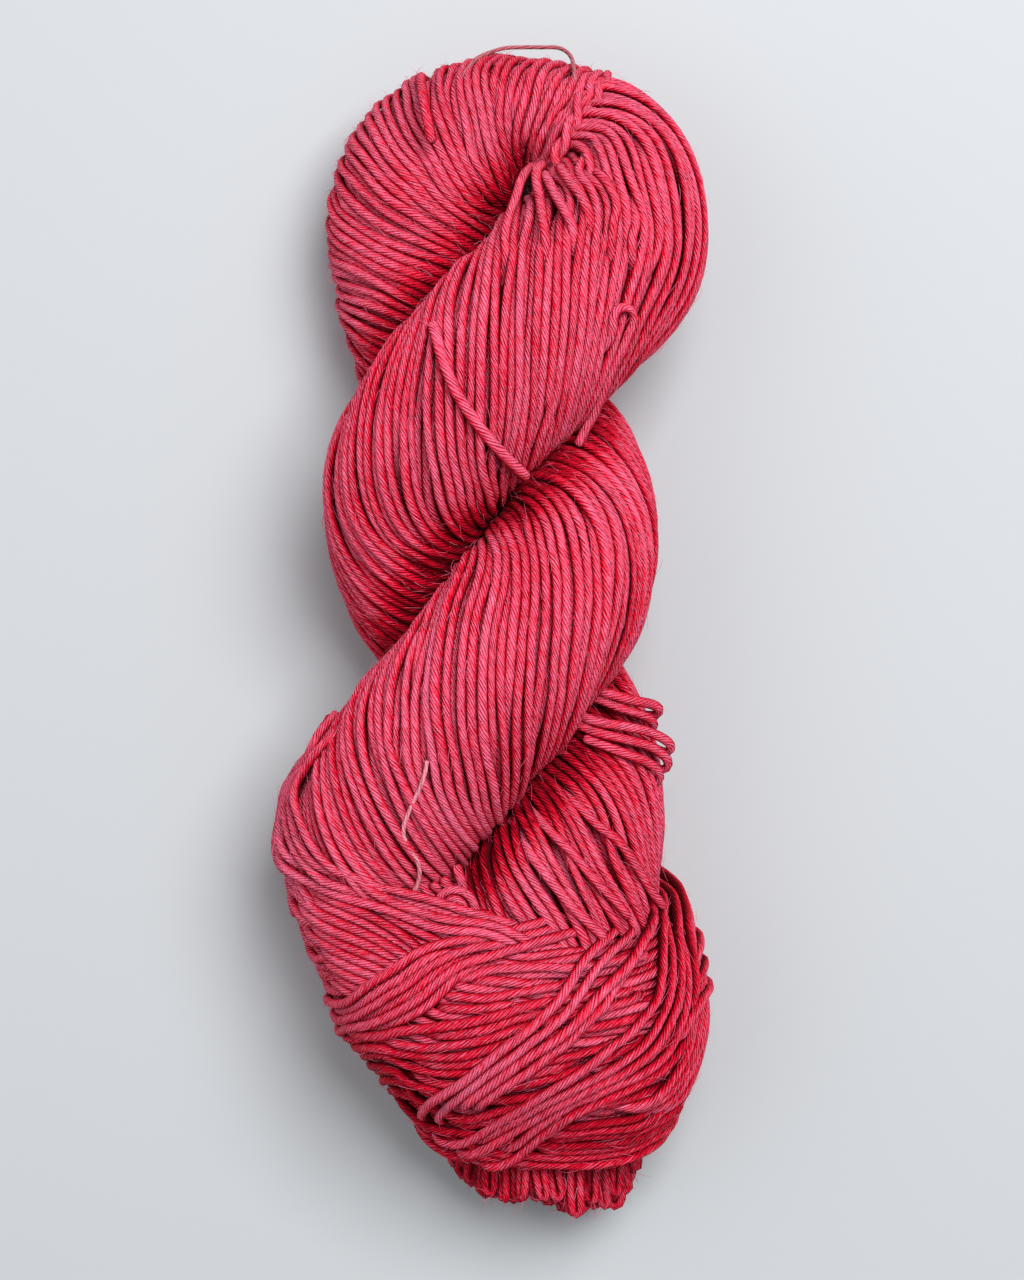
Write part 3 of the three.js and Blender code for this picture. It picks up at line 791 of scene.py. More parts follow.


# Bands of strands on the ring. Each has its first and last strand as (angle round the ring in
# degrees, place across the band from 0 to 1), and how many layers lie over it at its start and at
# its end. A tint below zero darkens a band as painted shade, most on the low bands by the floor.
ringBands = {
    "upperMiddle": {"count": 4, "layers": (1.2, 1), "tint": -0.8,
     "first": [(111, 0.494), (103, 0.447), (94, 0.403), (86, 0.378), (78, 0.363), (68, 0.356),
               (59, 0.334), (49, 0.309), (40, 0.284), (30, 0.263)],
     "last": [(123, 0.581), (114, 0.547), (106, 0.534), (98, 0.528), (89, 0.506), (79, 0.466),
              (68, 0.413), (60, 0.378), (50, 0.353), (40, 0.331)]},
    "middle": {"count": 3, "layers": (0.7, 1), "tint": -1.7,
     "first": [(222, 0.7), (205, 0.69), (170, 0.7), (138, 0.663), (128, 0.631), (119, 0.606),
               (110, 0.581), (101, 0.553), (92, 0.525), (84, 0.491), (74, 0.45), (64, 0.419),
               (51, 0.391), (40, 0.363)],
     "last": [(222, 0.74), (205, 0.73), (170, 0.735), (138, 0.681), (128, 0.669), (118, 0.653),
              (109, 0.638), (100, 0.616), (91, 0.581), (82, 0.55), (74, 0.522), (62, 0.488),
              (50, 0.45), (39, 0.416)]},
    "lowerMiddle": {"count": 6, "layers": (0.7, 1.1), "tint": -2.9,
     "first": [(222, 0.78), (200, 0.765), (168, 0.76), (138, 0.697), (130, 0.706), (122, 0.703),
               (113, 0.691), (104, 0.666), (95, 0.638), (86, 0.616), (75, 0.591), (64, 0.556),
               (50, 0.513), (38, 0.469)],
     "last": [(222, 0.88), (200, 0.86), (165, 0.84), (136, 0.784), (132, 0.816), (126, 0.831),
              (119, 0.844), (106, 0.834), (96, 0.809), (84, 0.775), (73, 0.731), (64, 0.691),
              (54, 0.625), (40, 0.559)]},
    "lowerLeft": {"count": 4, "layers": (0.6, 1.2), "tint": -3.3,
     "first": [(222, 0.9), (200, 0.88), (165, 0.86), (137, 0.809), (136, 0.847), (132, 0.869),
               (123, 0.875), (112, 0.866), (100, 0.844), (90, 0.816), (78, 0.766)],
     "last": [(222, 0.96), (200, 0.95), (170, 0.941), (153, 0.95), (140, 0.956), (128, 0.956),
              (114, 0.944), (101, 0.928), (88, 0.9), (75, 0.853)]},
    "lowerRight": {"count": 5, "layers": (0.7, 0.8), "tint": -3.0,
     "first": [(-25, 0.62), (-5, 0.66), (12, 0.7), (27, 0.745), (40, 0.788), (50, 0.803),
               (58, 0.812), (67, 0.828), (75, 0.853), (84, 0.891), (93, 0.922)],
     "last": [(-25, 0.9), (-5, 0.89), (14, 0.9), (36, 0.919), (44, 0.944), (55, 0.953),
              (66, 0.953), (78, 0.953), (90, 0.947), (101, 0.934)]},
    "footRim": {"count": 6, "layers": (0.9, 0.5), "tint": -3.2,
     "first": [(222, 0.88), (200, 0.88), (178, 0.885), (160, 0.89), (147, 0.9), (138, 0.915),
               (126, 0.925), (112, 0.93), (100, 0.935), (86, 0.94), (74, 0.94), (60, 0.935),
               (48, 0.925), (36, 0.905), (16, 0.88), (-4, 0.86), (-25, 0.85)],
     "last": [(222, 0.985), (200, 0.985), (180, 0.985), (162, 0.985), (146, 0.988), (130, 0.984),
              (117, 0.978), (108, 0.988), (96, 1), (84, 1), (70, 1), (58, 0.997), (46, 0.994),
              (36, 0.981), (-5, 0.985), (-25, 0.985)]},
    "flank": {"count": 9, "layers": (0.1, 3.2), "tint": -0.6,
     "first": [(225, 0.14), (203, 0.16), (156, 0.209), (144, 0.197), (133, 0.184), (124, 0.188),
               (116, 0.206), (108, 0.213), (101, 0.222), (92, 0.231), (84, 0.241), (77, 0.25)],
     "last": [(225, 0.52), (203, 0.51), (180, 0.52), (160, 0.52), (143, 0.491), (132, 0.438),
              (123, 0.381), (113, 0.322), (106, 0.284), (98, 0.256), (90, 0.25), (82, 0.25)]},
    "lowFlank": {"count": 4, "layers": (0.1, 2.8), "tint": -0.6,
     "first": [(225, 0.54), (203, 0.53), (176, 0.545), (152, 0.537), (138, 0.488), (127, 0.431),
               (119, 0.384), (110, 0.331), (104, 0.288), (96, 0.263)],
     "last": [(225, 0.64), (203, 0.62), (180, 0.62), (160, 0.605), (142, 0.569), (134, 0.525),
              (125, 0.475), (118, 0.416), (110, 0.353), (102, 0.306)]},
    "rope": {"count": 6, "layers": (0.1, 0.9), "tint": -0.5,
     "first": [(225, 0.66), (203, 0.64), (180, 0.645), (160, 0.625), (146, 0.588), (137, 0.544),
               (128, 0.491), (119, 0.434), (112, 0.369), (104, 0.312), (97, 0.275), (88, 0.241),
               (80, 0.222), (74, 0.197), (70, 0.163), (65, 0.141), (61, 0.153), (58, 0.188),
               (54, 0.225), (50, 0.256)],
     "last": [(225, 0.74), (203, 0.73), (180, 0.735), (158, 0.71), (140, 0.659), (130, 0.619),
              (122, 0.575), (114, 0.525), (108, 0.475), (101, 0.419), (94, 0.369), (86, 0.328),
              (78, 0.284), (70, 0.244), (63, 0.206), (56, 0.181), (50, 0.159), (43, 0.134),
              (36, 0.131)]},
    "rightEdge": {"count": 6, "layers": (0.3, 0.8),
     "first": [(-4, 0.03), (4, 0.094), (8, 0.153), (16, 0.231), (19, 0.322), (22, 0.422),
               (28, 0.534), (31, 0.638), (36, 0.719), (42, 0.772), (50, 0.803), (60, 0.819),
               (67, 0.844)],
     "last": [(-30, 0.14), (-24, 0.3), (-14, 0.45), (-3, 0.6), (6, 0.76), (18, 0.9), (36, 0.99)]},
    "vees": {"count": 4, "layers": (0.6, 1), "tint": -1.8,
     "first": [(-5, 0.24), (14, 0.33), (29, 0.33), (41, 0.43), (50, 0.54)],
     "last": [(-8, 0.46), (8, 0.51), (33, 0.54), (43, 0.62), (53, 0.73)]},
    "rightBundle": {"count": 5, "layers": (0, 0.4), "tint": -0.9,
     "first": [(8, 0), (13, 0.044), (20, 0.084), (30, 0.156), (36, 0.25), (40, 0.347), (44, 0.438),
               (50, 0.506), (55, 0.566), (62, 0.622), (68, 0.672), (76, 0.725), (84, 0.778),
               (94, 0.834), (106, 0.881), (117, 0.916), (128, 0.941), (142, 0.956), (159, 0.956)],
     "last": [(-6, 0.05), (3, 0.116), (11, 0.163), (19, 0.244), (22, 0.338), (25, 0.434),
              (30, 0.534), (36, 0.619), (42, 0.681), (49, 0.728), (57, 0.759), (64, 0.791),
              (73, 0.828), (80, 0.866), (88, 0.9), (98, 0.934), (109, 0.959), (121, 0.975),
              (135, 0.981)]},
    "edgeVees": {"count": 3, "layers": (-0.1, 0.2), "tint": -0.2,
     "first": [(-12, 0.28), (-4, 0.31), (13, 0.331), (22, 0.341), (30, 0.356), (36, 0.375),
               (40, 0.391)],
     "last": [(-12, 0.44), (-4, 0.47), (20, 0.488), (30, 0.528), (37, 0.578), (44, 0.609),
              (50, 0.647)]},
    "secondStray": {"count": 2, "layers": (-0.1, 0), "tint": -0.5,
     "first": [(124, 0.884), (115, 0.844), (108, 0.803), (98, 0.741), (90, 0.678), (82, 0.628),
               (74, 0.572), (68, 0.513), (63, 0.45), (57, 0.384), (51, 0.322), (45, 0.25),
               (38, 0.181), (32, 0.131), (21, 0.106)],
     "last": [(119, 0.888), (108, 0.838), (98, 0.772), (89, 0.716), (82, 0.656), (74, 0.6),
              (67, 0.534), (61, 0.469), (56, 0.403), (50, 0.334), (44, 0.266), (38, 0.203),
              (31, 0.15), (20, 0.125)]},
    "firstStray": {"count": 2, "layers": (-0.4, -0.3), "tint": 0.1,
     "first": [(150, 0.955), (137, 0.913), (127, 0.869), (119, 0.825), (110, 0.766), (102, 0.703),
               (95, 0.641), (88, 0.584), (80, 0.509), (74, 0.447), (69, 0.375), (65, 0.316),
               (60, 0.244), (54, 0.178), (47, 0.125), (37, 0.078), (28, 0.075), (21, 0.1)],
     "last": [(137, 0.938), (130, 0.906), (124, 0.872), (115, 0.838), (107, 0.788), (100, 0.731),
              (92, 0.672), (86, 0.616), (79, 0.553), (73, 0.491), (68, 0.422), (63, 0.35),
              (58, 0.291), (53, 0.231), (46, 0.169), (38, 0.122), (30, 0.113), (23, 0.122)]},
}


def ringSteps(along):
    # Even lengths along a line on the ring.
    count = max(int(along[-1] / ringForm["step"]), ringForm["leastPoints"])
    return np.linspace(0, along[-1], count)


def ringLine(guide):
    # The guide's (angle, band) as a smooth line at even distances on the ring.
    fine = throughRows(guide, ringForm["guideSpan"])
    along = lengthAlong(ringPoints(fine))
    return sampled(ringSteps(along), along, fine)


def ringStrand(line, lift, rng, tint=0.0):
    # A strand along the line, lifted off the ring's surface and kept clear of the floor.
    points, outward = onRing(line[:, 1], np.radians(line[:, 0]), lift - ringForm["radius"])
    points[:, 2] = softFloor(points[:, 2], ringForm["radius"])
    radius = ringForm["radius"] * (1 + rng.normal(0, ringForm["radiusSpread"]))
    tint = rng.normal(tint, ringForm["tintSpread"])
    return strand(points, outward, radius, tint, ringForm["rise"])


def bandStrands(band, rng):
    # Strands between the band's first and last, at depths by their spacing and the layers over
    # them; both ends of each go under.
    share = np.linspace(0, 1, ringForm["shares"])
    first, last = (sampled(share, np.linspace(0, 1, len(line)), line) for line in
                   (ringLine(band["first"]), ringLine(band["last"])))
    t = np.linspace(0, 1, band["count"])[:, None, None]
    lines = first * (1 - t) + last * t
    sink = sinkForSpacing(*gapsBetween(ringPoints(lines)), np.arange(band["count"]),
                          ringForm["radius"] * firmShare)
    startLayers, stopLayers = band["layers"]
    layers = startLayers + (stopLayers - startLayers) * share
    made = []
    for line, depth in zip(lines, sink):
        own = np.concatenate([line, (-depth - ringForm["layer"] * layers)[:, None]], 1)
        along = lengthAlong(ringPoints(line))
        at = ringSteps(along)
        own = sampled(at, along, own)
        own[:, 1] += wander(rng, 1, at, *ringForm["ownWander"])[0] / ringForm["length"]
        dips = sum(smoothStep(1 - away / ringForm["dipReach"]) for away in (at, at[-1] - at))
        lift = own[:, 2] - ringForm["dip"] * dips
        made.append(ringStrand(own[:, :2], lift, rng, band.get("tint", 0.0)))
    return made


def ringStrands():
    # The layer under the bands, as loops at even shares from the mouth to the foot, then the bands.
    rng = np.random.default_rng(ringForm["seed"])
    under = ringForm["under"]
    angle = np.arange(*under["degrees"])
    start = mouthAt(angle)
    made = {"ringUnder": [], "ringBands": []}
    for k in range(under["count"]):
        band = start + (1.0 - start) * (k + under["firstPlace"]) / under["places"]
        drift = wander(rng, 1, angle, *under["wander"])[0]
        band = band + drift * np.sin(np.radians((angle + 180) / 2)) ** 2
        line = ringLine(np.stack([angle, band], -1))
        lift = np.full(len(line), -ringForm["layer"] * under["layers"])
        made["ringUnder"].append(ringStrand(line, lift, rng))
    for band in ringBands.values():
        made["ringBands"] += bandStrands(band, rng)
    return made


def ringCore(style):
    # The ring's own form, sunk under its strands; its first row lies back inside the mouth.
    degrees = np.arange(*style["degrees"])
    start = mouthAt(degrees)
    share = np.linspace(0, 1, style["rows"])[:, None]
    band = start + style["inset"] + (1 - start) * share
    angle = np.broadcast_to(np.radians(degrees), band.shape)
    rows, _ = onRing(band, angle, np.full(band.shape, -style["sunk"]))
    middle = rows[0].mean(0)
    inner = middle + (rows[0] - middle) * style["mouthShare"] + style["mouthShift"]
    points = np.stack([inner, *rows])
    points[..., 2] = softFloor(points[..., 2], style["floor"])
    return points[:, ::-1]


pieces.update(ringStrands())
coreParts.append(ringCore(ringForm["core"]))
print("ring laid:", len(pieces["ringUnder"]), "under,", len(pieces["ringBands"]), "in bands")


# Slack strands that lie over the winding, drawn one by one; a group with a count has that many at
# even shares between its two routes. Sink is how deep the two ends go, in mm, and a twined group
# gives half the width of its twist and its length.
slackStrands = {
    "radius": 1.04, "radiusSpread": 0.04, "tintSpread": 0.4,
    "perSpan": 10, "fineStep": 0.5, "shares": 80, "step": 1.3,
    "wander": (11, 0.2), "sinkReach": 9.0,
    "spread": 0.02,  # how much the upward side leans away from a strand's middle, per mm
    "seed": 31,
    "groups": {
        "crescent": {"count": 6, "rise": 0.1, "sink": (4, 6), "routes": [
            [(-29.8, -16.8, 44), (-33.6, -23, 44.5), (-37, -27.9, 43.5), (-39.7, -30.8, 42),
             (-41.9, -33.2, 40.5), (-42.8, -35.6, 40), (-42.6, -37.9, 40.5), (-41.6, -40.4, 42),
             (-39.9, -43.6, 44.5), (-37.5, -47.1, 46), (-33.8, -50.6, 47.5), (-29.9, -53.8, 48),
             (-26.1, -56.5, 48), (-22.7, -59, 48.5), (-18.9, -60.8, 49.5), (-13.8, -62.4, 50.2),
             (-8.5, -64, 50.8), (-2.2, -65.5, 51), (5.2, -66.8, 50.8), (11.5, -68.1, 50.2)],
            [(-35.8, -24.2, 36), (-40.4, -29.1, 32), (-44, -32.4, 27.5), (-46.5, -35.8, 24.5),
             (-47.4, -39.2, 23.5), (-47.9, -42.5, 23.5), (-48.4, -45.7, 25), (-48.1, -48.5, 28.5),
             (-46.4, -51, 33), (-43.5, -52.6, 36.8), (-39.4, -54.2, 40.2), (-34, -56.5, 43.5),
             (-28.3, -58.8, 46), (-22.7, -60.8, 47.8), (-17.2, -62.5, 49), (-11.3, -64.1, 50),
             (-4.3, -65.9, 50.6), (3.1, -67.6, 50.6), (10.5, -69, 50)]]},
        "curl": {"count": 2, "rise": 0.5, "sink": (0, 0), "routes": [
            [(-4.4, -68.3, 43), (-4.4, -62.6, 44), (-5.2, -59.1, 45), (-7.1, -56.9, 46),
             (-9.9, -56.7, 46), (-11.8, -58.2, 45.5), (-12.7, -61.1, 44.5), (-12.5, -65, 42),
             (-12.2, -68, 40)],
            [(-6.5, -68.3, 43), (-6.5, -63, 44.5), (-7.3, -59.9, 46), (-8.2, -59, 46.5),
             (-9.2, -58.8, 46.5), (-10.3, -59.9, 46), (-11, -62.4, 44.5), (-10.8, -64.9, 43),
             (-10.6, -66.3, 42)]]},
        "mouthFill": {"count": 3, "rise": 0.4, "sink": (0.8, 1.5), "routes": [
            [(-13.5, -53.9, 46), (-11.8, -56.7, 43.5), (-10, -59.7, 41), (-8.7, -64.1, 40),
             (-8.1, -68.5, 39)],
            [(-8.6, -51.4, 46), (-7.8, -54, 45), (-7, -57.4, 43), (-6.3, -61.8, 42),
             (-5.9, -68.3, 41)]]},
        "plyEnd": {"count": 3, "rise": 0.4, "sink": (0.8, 1.5), "routes": [
            [(-20.7, -50.1, 46), (-17.8, -54, 45), (-14.4, -57.3, 44), (-11.5, -59.6, 42),
             (-8.7, -62, 40)],
            [(-23.7, -53.2, 45), (-20.4, -57.1, 43.5), (-16.6, -59.8, 42), (-13.6, -61.7, 41),
             (-10.7, -63.6, 39)]]},
        "hairpin": {"rise": 1.2, "sink": (1, 1), "routes": [
            [(16.3, 39.6, 44), (18, 43.4, 44.5), (20.5, 47.5, 46), (22.7, 51.5, 49),
             (24.9, 56.2, 52.5), (27.1, 61, 54.5), (28, 63.9, 54.5), (26.9, 65.8, 56),
             (24.5, 66.1, 57.5), (22.8, 64.6, 57.8), (22.3, 62, 56.5), (21.3, 58.5, 54.5),
             (19.5, 54.2, 51.5), (17.5, 49.5, 48), (15.4, 44.8, 45)]]},
        "edgeLoops": {"rise": 0.8, "sink": (2, 2), "routes": [
            [(19.7, -12.6, 42), (22.6, -13.7, 41), (26.7, -15, 39.5), (30.6, -16.1, 37.5),
             (33.8, -17.1, 35), (35.4, -18.4, 33), (34.6, -19.8, 31.5), (32.4, -19.8, 31.5),
             (29.1, -19.1, 32.5), (25.2, -17.5, 34)],
            [(19.8, -14.8, 41), (23.4, -16.3, 40), (27.2, -17.8, 38.5), (31.1, -19, 36),
             (34.1, -20.1, 33.5), (35.1, -21.5, 31.5), (33.8, -22.6, 30), (31.4, -22.4, 30.5),
             (27.9, -21.3, 32), (23.9, -19.5, 34)],
            [(17.3, -18.3, 44), (21.8, -20.3, 43.5), (27.5, -21.6, 41), (32.8, -22.6, 38),
             (36.4, -24.4, 35), (37.6, -26.2, 33), (36.6, -27.6, 31.5), (34.2, -26.9, 32),
             (30.8, -25.5, 34), (26.8, -24.2, 36)],
            [(17.3, -20.9, 44), (21.8, -22.8, 43.2), (27.5, -24.4, 40.5), (32.8, -25.8, 37),
             (36, -27.7, 34), (37, -29.5, 31.5), (35.8, -30.9, 30), (33.1, -30, 31),
             (29.8, -28.4, 33), (25.8, -26.6, 35.5)],
            [(19.3, -24.1, 43.5), (23.1, -25.6, 42.5), (27.5, -27.4, 40), (32, -29.3, 37),
             (34.9, -31.4, 34), (35.9, -33.2, 31.5), (34.7, -34.2, 30.5), (32.2, -33, 31.5),
             (29.1, -31, 34), (25.5, -28.9, 36.5)]]},
        "acrossFoot": {"rise": 1, "sink": (1.4, 0), "routes": [
            [(3.5, -36.9, 40.5), (8, -40.1, 43), (13.3, -45.4, 46.6), (17.9, -50.2, 47.2),
             (21.9, -54.9, 46.8), (25.2, -58.5, 45.2), (28, -61.4, 43.6)],
            [(1.6, -41.2, 40), (5.2, -45.2, 43), (9.2, -49.6, 46.9), (12.6, -54.8, 48),
             (16, -59.7, 48.3), (19.2, -63.5, 48), (22.6, -67.9, 46)],
            [(12.9, -34.6, 43.3), (18, -39.1, 45.2), (23, -44.4, 45.4), (27.6, -49.4, 43.8),
             (31.3, -54.8, 41), (34.6, -60.9, 35.5)]]},
        "knuckles": {"rise": 0.7, "sink": (0, 3.2), "routes": [
            [(8.1, 99.4, 33), (6.7, 97.3, 39), (5.4, 94.5, 43), (4.8, 90.8, 46), (4.1, 86.8, 48.7),
             (3.3, 81.9, 52.9), (2.5, 76.6, 56.3), (1.6, 70.7, 58.2)],
            [(11.3, 98.9, 36), (10.1, 96.8, 42), (9.4, 94.3, 45.5), (9.6, 90.3, 49),
             (10, 85.4, 53.5), (10.4, 80.2, 57.3), (10.7, 74.1, 59.8)],
            [(12.3, 96.3, 41), (12.4, 93.9, 46.5), (13.2, 90.5, 50.2), (14.4, 86.7, 53.3),
             (15.4, 82, 56.8), (15.9, 76.2, 59.2)],
            [(14.2, 98.2, 40), (15.2, 96.9, 45), (16.6, 95, 48.5), (17.8, 92, 51.5),
             (19, 88.5, 54), (20, 84.1, 56.3), (20.7, 78.5, 58)],
            [(21.2, 94.1, 49), (23.8, 91, 52.8), (25.5, 87.3, 54.5), (24.8, 83.1, 56),
             (24.9, 78.6, 57.2), (26.6, 73.7, 56.6)],
            [(25.5, 93.4, 48), (28.5, 89.7, 51.4), (29.5, 85.5, 53), (28.2, 81, 55),
             (28.6, 75.9, 55.2), (30.4, 71.5, 52.5)]]},
        "seamPair": {"rise": 0.4, "sink": (1.5, 1.5), "twined": (0.95, 13), "routes": [
            [(24.2, 120.2, 26.5), (22.6, 117.4, 31), (20.1, 112.4, 36.3), (17.7, 107.1, 39.2),
             (15.3, 102.1, 39.7), (13.2, 98.1, 36.8), (12, 96.4, 33)]]},
        # Strands deep in hollows, their tint below zero as painted shade.
        "deepFill": {"rise": 0.1, "sink": (0, 0), "tint": -2.0, "routes": [
            [(-35.5, -20.5, 33), (-39.3, -27.5, 29), (-41.8, -33.5, 26.5), (-42.4, -39.5, 26.5),
             (-40.5, -46, 30)],
            [(-34.6, -22.5, 35), (-38, -29, 32), (-39.9, -34.5, 30.5), (-40.2, -40, 31),
             (-38.2, -46, 34)],
            [(-13.8, 104, 41), (-15.3, 112, 38), (-16.3, 118.2, 31.5), (-16.7, 120.4, 25),
             (-16.6, 119.6, 18), (-16.2, 116, 12)]]},
    },
}


def slackLines(group, style):
    # The group's routes as smooth lines, or its count of lines between two, crowded ones sunk.
    share = np.linspace(0, 1, style["shares"])
    lines = []
    for route in group["routes"]:
        path, = evenly(throughRows(route, style["perSpan"]), style["fineStep"])
        lines.append(sampled(share, np.linspace(0, 1, len(path)), path))
    lines = np.array(lines)
    if "count" in group:
        t = np.linspace(0, 1, group["count"])[:, None, None]
        lines = lines[0] * (1 - t) + lines[1] * t
        sink = sinkForSpacing(*gapsBetween(lines), np.arange(len(lines)),
                              style["radius"] * firmShare)
        lines = lines - unit(lines - ringForm["heart"]) * sink[..., None]
    return lines


def twinedWays(path, at, half, turn):
    # Two strands round the path, which swing across it by half·cos and up by half·sin.
    across = unit(np.cross(np.gradient(path, axis=0), upwards))
    phase = (at * 2 * np.pi / turn)[:, None]
    offset = across * half * np.cos(phase) + upwards * half * np.sin(phase)
    return [path + offset, path - offset]


def slackPieces(style):
    # Each line at even steps, with a little wander, its two ends sunk.
    rng = np.random.default_rng(style["seed"])
    made = []
    for group in style["groups"].values():
        for line in slackLines(group, style):
            path, = evenly(line, style["step"])
            at = lengthAlong(path)
            path = path + wander(rng, 3, at, *style["wander"]).T
            for depth, away in zip(group["sink"], (at, at[-1] - at)):
                path[:, 2] -= depth * smoothStep(1 - away / style["sinkReach"])
            ways = twinedWays(path, at, *group["twined"]) if "twined" in group else [path]
            for way in ways:
                outward = unit(np.tile(upwards, (len(way), 1))
                               + style["spread"] * (way - way.mean(0)))
                radius = style["radius"] * (1 + rng.normal(0, style["radiusSpread"]))
                tint = group.get("tint", 0) + rng.normal(0, style["tintSpread"])
                made.append(strand(way, outward, radius, tint, group["rise"]))
    return made


pieces["slackStrands"] = slackPieces(slackStrands)
print("slack strands laid:", len(pieces["slackStrands"]))


# The tuft: the first ply's folded ends, coming out through the ring
tuft = {
    "count": 112,
    "tips": [  # x, y
        (-8.5, -120.5), (-7, -124), (-2, -126.8), (6, -127.6), (12, -128.2), (17, -130.3),
        (21, -129.3), (25, -129.8), (28, -128.4), (30, -124.5)],
    "xSpread": 0.4, "ySpread": (-1.2, 2.2), "ledge": 3.0,  # mm; upper tips are this much shorter
    "from": -104.0, "narrowing": 0.8, "shift": 2, "lean": 2.4, "fanOut": 5,  # where they start
    "levels": (2.0, 30.5), "edgeLevel": 0.5,  # heights, and how much lower the sides are
    "foldWidth": (1.75, 2.4), "foldLength": 1.25, "roll": 1.2, "bow": 0.8,
    "legPoints": 12, "foldPoints": 9, "perSpan": 3, "step": 1.1,
    # The tuft's tint below zero darkens it as painted shade.
    "radius": 0.93, "tint": -2.4, "tintSpread": 0.5, "rise": 0.2, "outward": (0.0, -0.25, 1.0),
    "seed": 5,
}


def tuftStrands(style):
    # Each end runs out to its tip, turns back in a half circle and runs in again beside itself:
    # root + (tip − root)·t ± side·half·ease(t), and tip + side·cos + direction·sin for the fold.
    rng = np.random.default_rng(style["seed"])
    tips = np.array(style["tips"])
    low, high = style["levels"]
    legs = np.linspace(0, 1, style["legPoints"])[:, None]
    turn = np.radians(np.linspace(0, 180, style["foldPoints"]))[:, None]
    made = []
    for k in range(style["count"]):
        t = (k + 0.5) / style["count"]
        level = (k * goldenShare) % 1.0
        x = tips[0, 0] + (tips[-1, 0] - tips[0, 0]) * t + rng.normal(0, style["xSpread"])
        z = low + (high - low) * level * (1 - style["edgeLevel"] * abs(2 * t - 1) ** 2)
        y = (np.interp(x, tips[:, 0], tips[:, 1]) + rng.uniform(*style["ySpread"])
             + style["ledge"] * level**2)
        half = rng.uniform(*style["foldWidth"]) / 2
        roll = rng.uniform(-style["roll"], style["roll"])
        lean = rng.normal(0, style["lean"])
        tip = np.array([x, y + half, z])
        root = np.array([x * style["narrowing"] + style["shift"] + lean, style["from"],
                         z + style["fanOut"] * (1 - level)])
        direction = unit(tip - root)
        side = unit(np.cross(direction, upwards)) * math.cos(roll) + upwards * math.sin(roll)
        bow = np.sin(np.pi * legs) * rng.normal(0, style["bow"]) * side
        out = root + (tip - root) * legs + side * half * smoothStep(legs) + bow
        back = root + (tip - root) * legs[::-1] - side * half * smoothStep(legs[::-1]) + bow[::-1]
        fold = (tip + side * half * np.cos(turn)
                + direction * half * style["foldLength"] * np.sin(turn))
        line = throughRows(np.vstack([out, fold[1:-1], back]), style["perSpan"])
        path, = evenly(line, style["step"])
        path[:, 2] = softFloor(path[:, 2], style["radius"])
        made.append(strand(path, np.tile(style["outward"], (len(path), 1)), style["radius"],
                           rng.normal(style["tint"], style["tintSpread"]), style["rise"]))
    return made


pieces["tuft"] = tuftStrands(tuft)
print("tuft made")

settle([one for strands in pieces.values() for one in strands], settling)
print("strands settled")


# Single fibres that stand a little off the strands and soften their outline
looseFibres = {
    "count": 6500,
    "length": (2.0, 5.5), "height": (0.1, 0.75), "drift": 1.2,  # mm
    "thickness": (0.05, 0.05, 0.045, 0.035, 0.015),  # radius from its root to its tip
    "rooted": 0.95,  # share of the strand's radius at which a fibre starts
    "arch": 2.2, "turn": 1.2,  # radians of its rise and fall, and to either side of outward
    "lowest": 0.1, "leastUp": -0.35, "sides": 3, "trim": 2,  # points left out at strand ends
    "tintSpread": 0.8,
    "roots": ("upperPly", "archFan", "lowerPly", "ringBands", "slackStrands", "tuft"),
    "seed": 47,
}


def fibresMesh(name, strands, style):
    # Root + away·(strand's radius + height·sin(arch·t)) + along·length·t + sideways·drift·t².
    rng = np.random.default_rng(style["seed"])
    inside = slice(style["trim"], -style["trim"])
    root, outward, radius = (np.concatenate([one[key][inside] for one in strands])
                             for key in ("path", "outward", "radius"))
    along = np.concatenate([unit(np.gradient(one["path"], axis=0))[inside] for one in strands])
    count, sides = style["count"], style["sides"]
    chosen = rng.choice(np.flatnonzero(outward[:, 2] > style["leastUp"]), count, replace=False)
    root, outward, radius = root[chosen], outward[chosen], radius[chosen][:, None, None]
    along = along[chosen] * rng.choice([-1.0, 1.0], (count, 1))
    up = squareTo(along, outward)
    turn = rng.uniform(-style["turn"], style["turn"], (count, 1))
    away = up * np.cos(turn) + np.cross(along, up) * np.sin(turn)
    sideways = np.cross(along, away)
    thickness = np.array(style["thickness"])[None, :, None, None]
    rows = thickness.size
    t = np.linspace(0, 1, rows)[None, :, None]
    length, height = (rng.uniform(*style[key], (count, 1, 1)) for key in ("length", "height"))
    drift = rng.normal(0, style["drift"], (count, 1, 1))
    rise = radius * style["rooted"] + height * np.sin(style["arch"] * t)
    path = (root[:, None] + away[:, None] * rise
            + along[:, None] * length * t + sideways[:, None] * drift * t**2)
    path[..., 2] = np.maximum(path[..., 2], style["lowest"])
    a = np.arange(sides)[None, None, :, None] * 2 * np.pi / sides
    around = away[:, None, None] * np.cos(a) + sideways[:, None, None] * np.sin(a)
    points = path[:, :, None] + thickness * around
    first = (np.arange(count) * rows * sides)[:, None, None]
    quads = (gridFaces(rows, sides, 0)[0][None] + first).reshape(-1, 4)
    caps = (endFaces(rows, sides, 0)[None] + first).reshape(-1, sides)
    tint = np.repeat(rng.normal(0, style["tintSpread"], count), rows * sides)
    return makeMesh(name, points.reshape(-1, 3), [quads, caps], attributes={"tint": tint})


rooted = [one for name in looseFibres["roots"] for one in pieces[name]]
fibres = fibresMesh("looseFibres", rooted, looseFibres)
print("loose fibres made:", looseFibres["count"])


# Finishes

def node(tree, kind, **settings):
    made = tree.nodes.new(kind)
    for name, value in settings.items():
        setattr(made, name, value)
    return made


def feed(tree, value, socket):
    # A plain number, or a link from another socket.
    if isinstance(value, (int, float)):
        socket.default_value = value
    else:
        tree.links.new(value, socket)


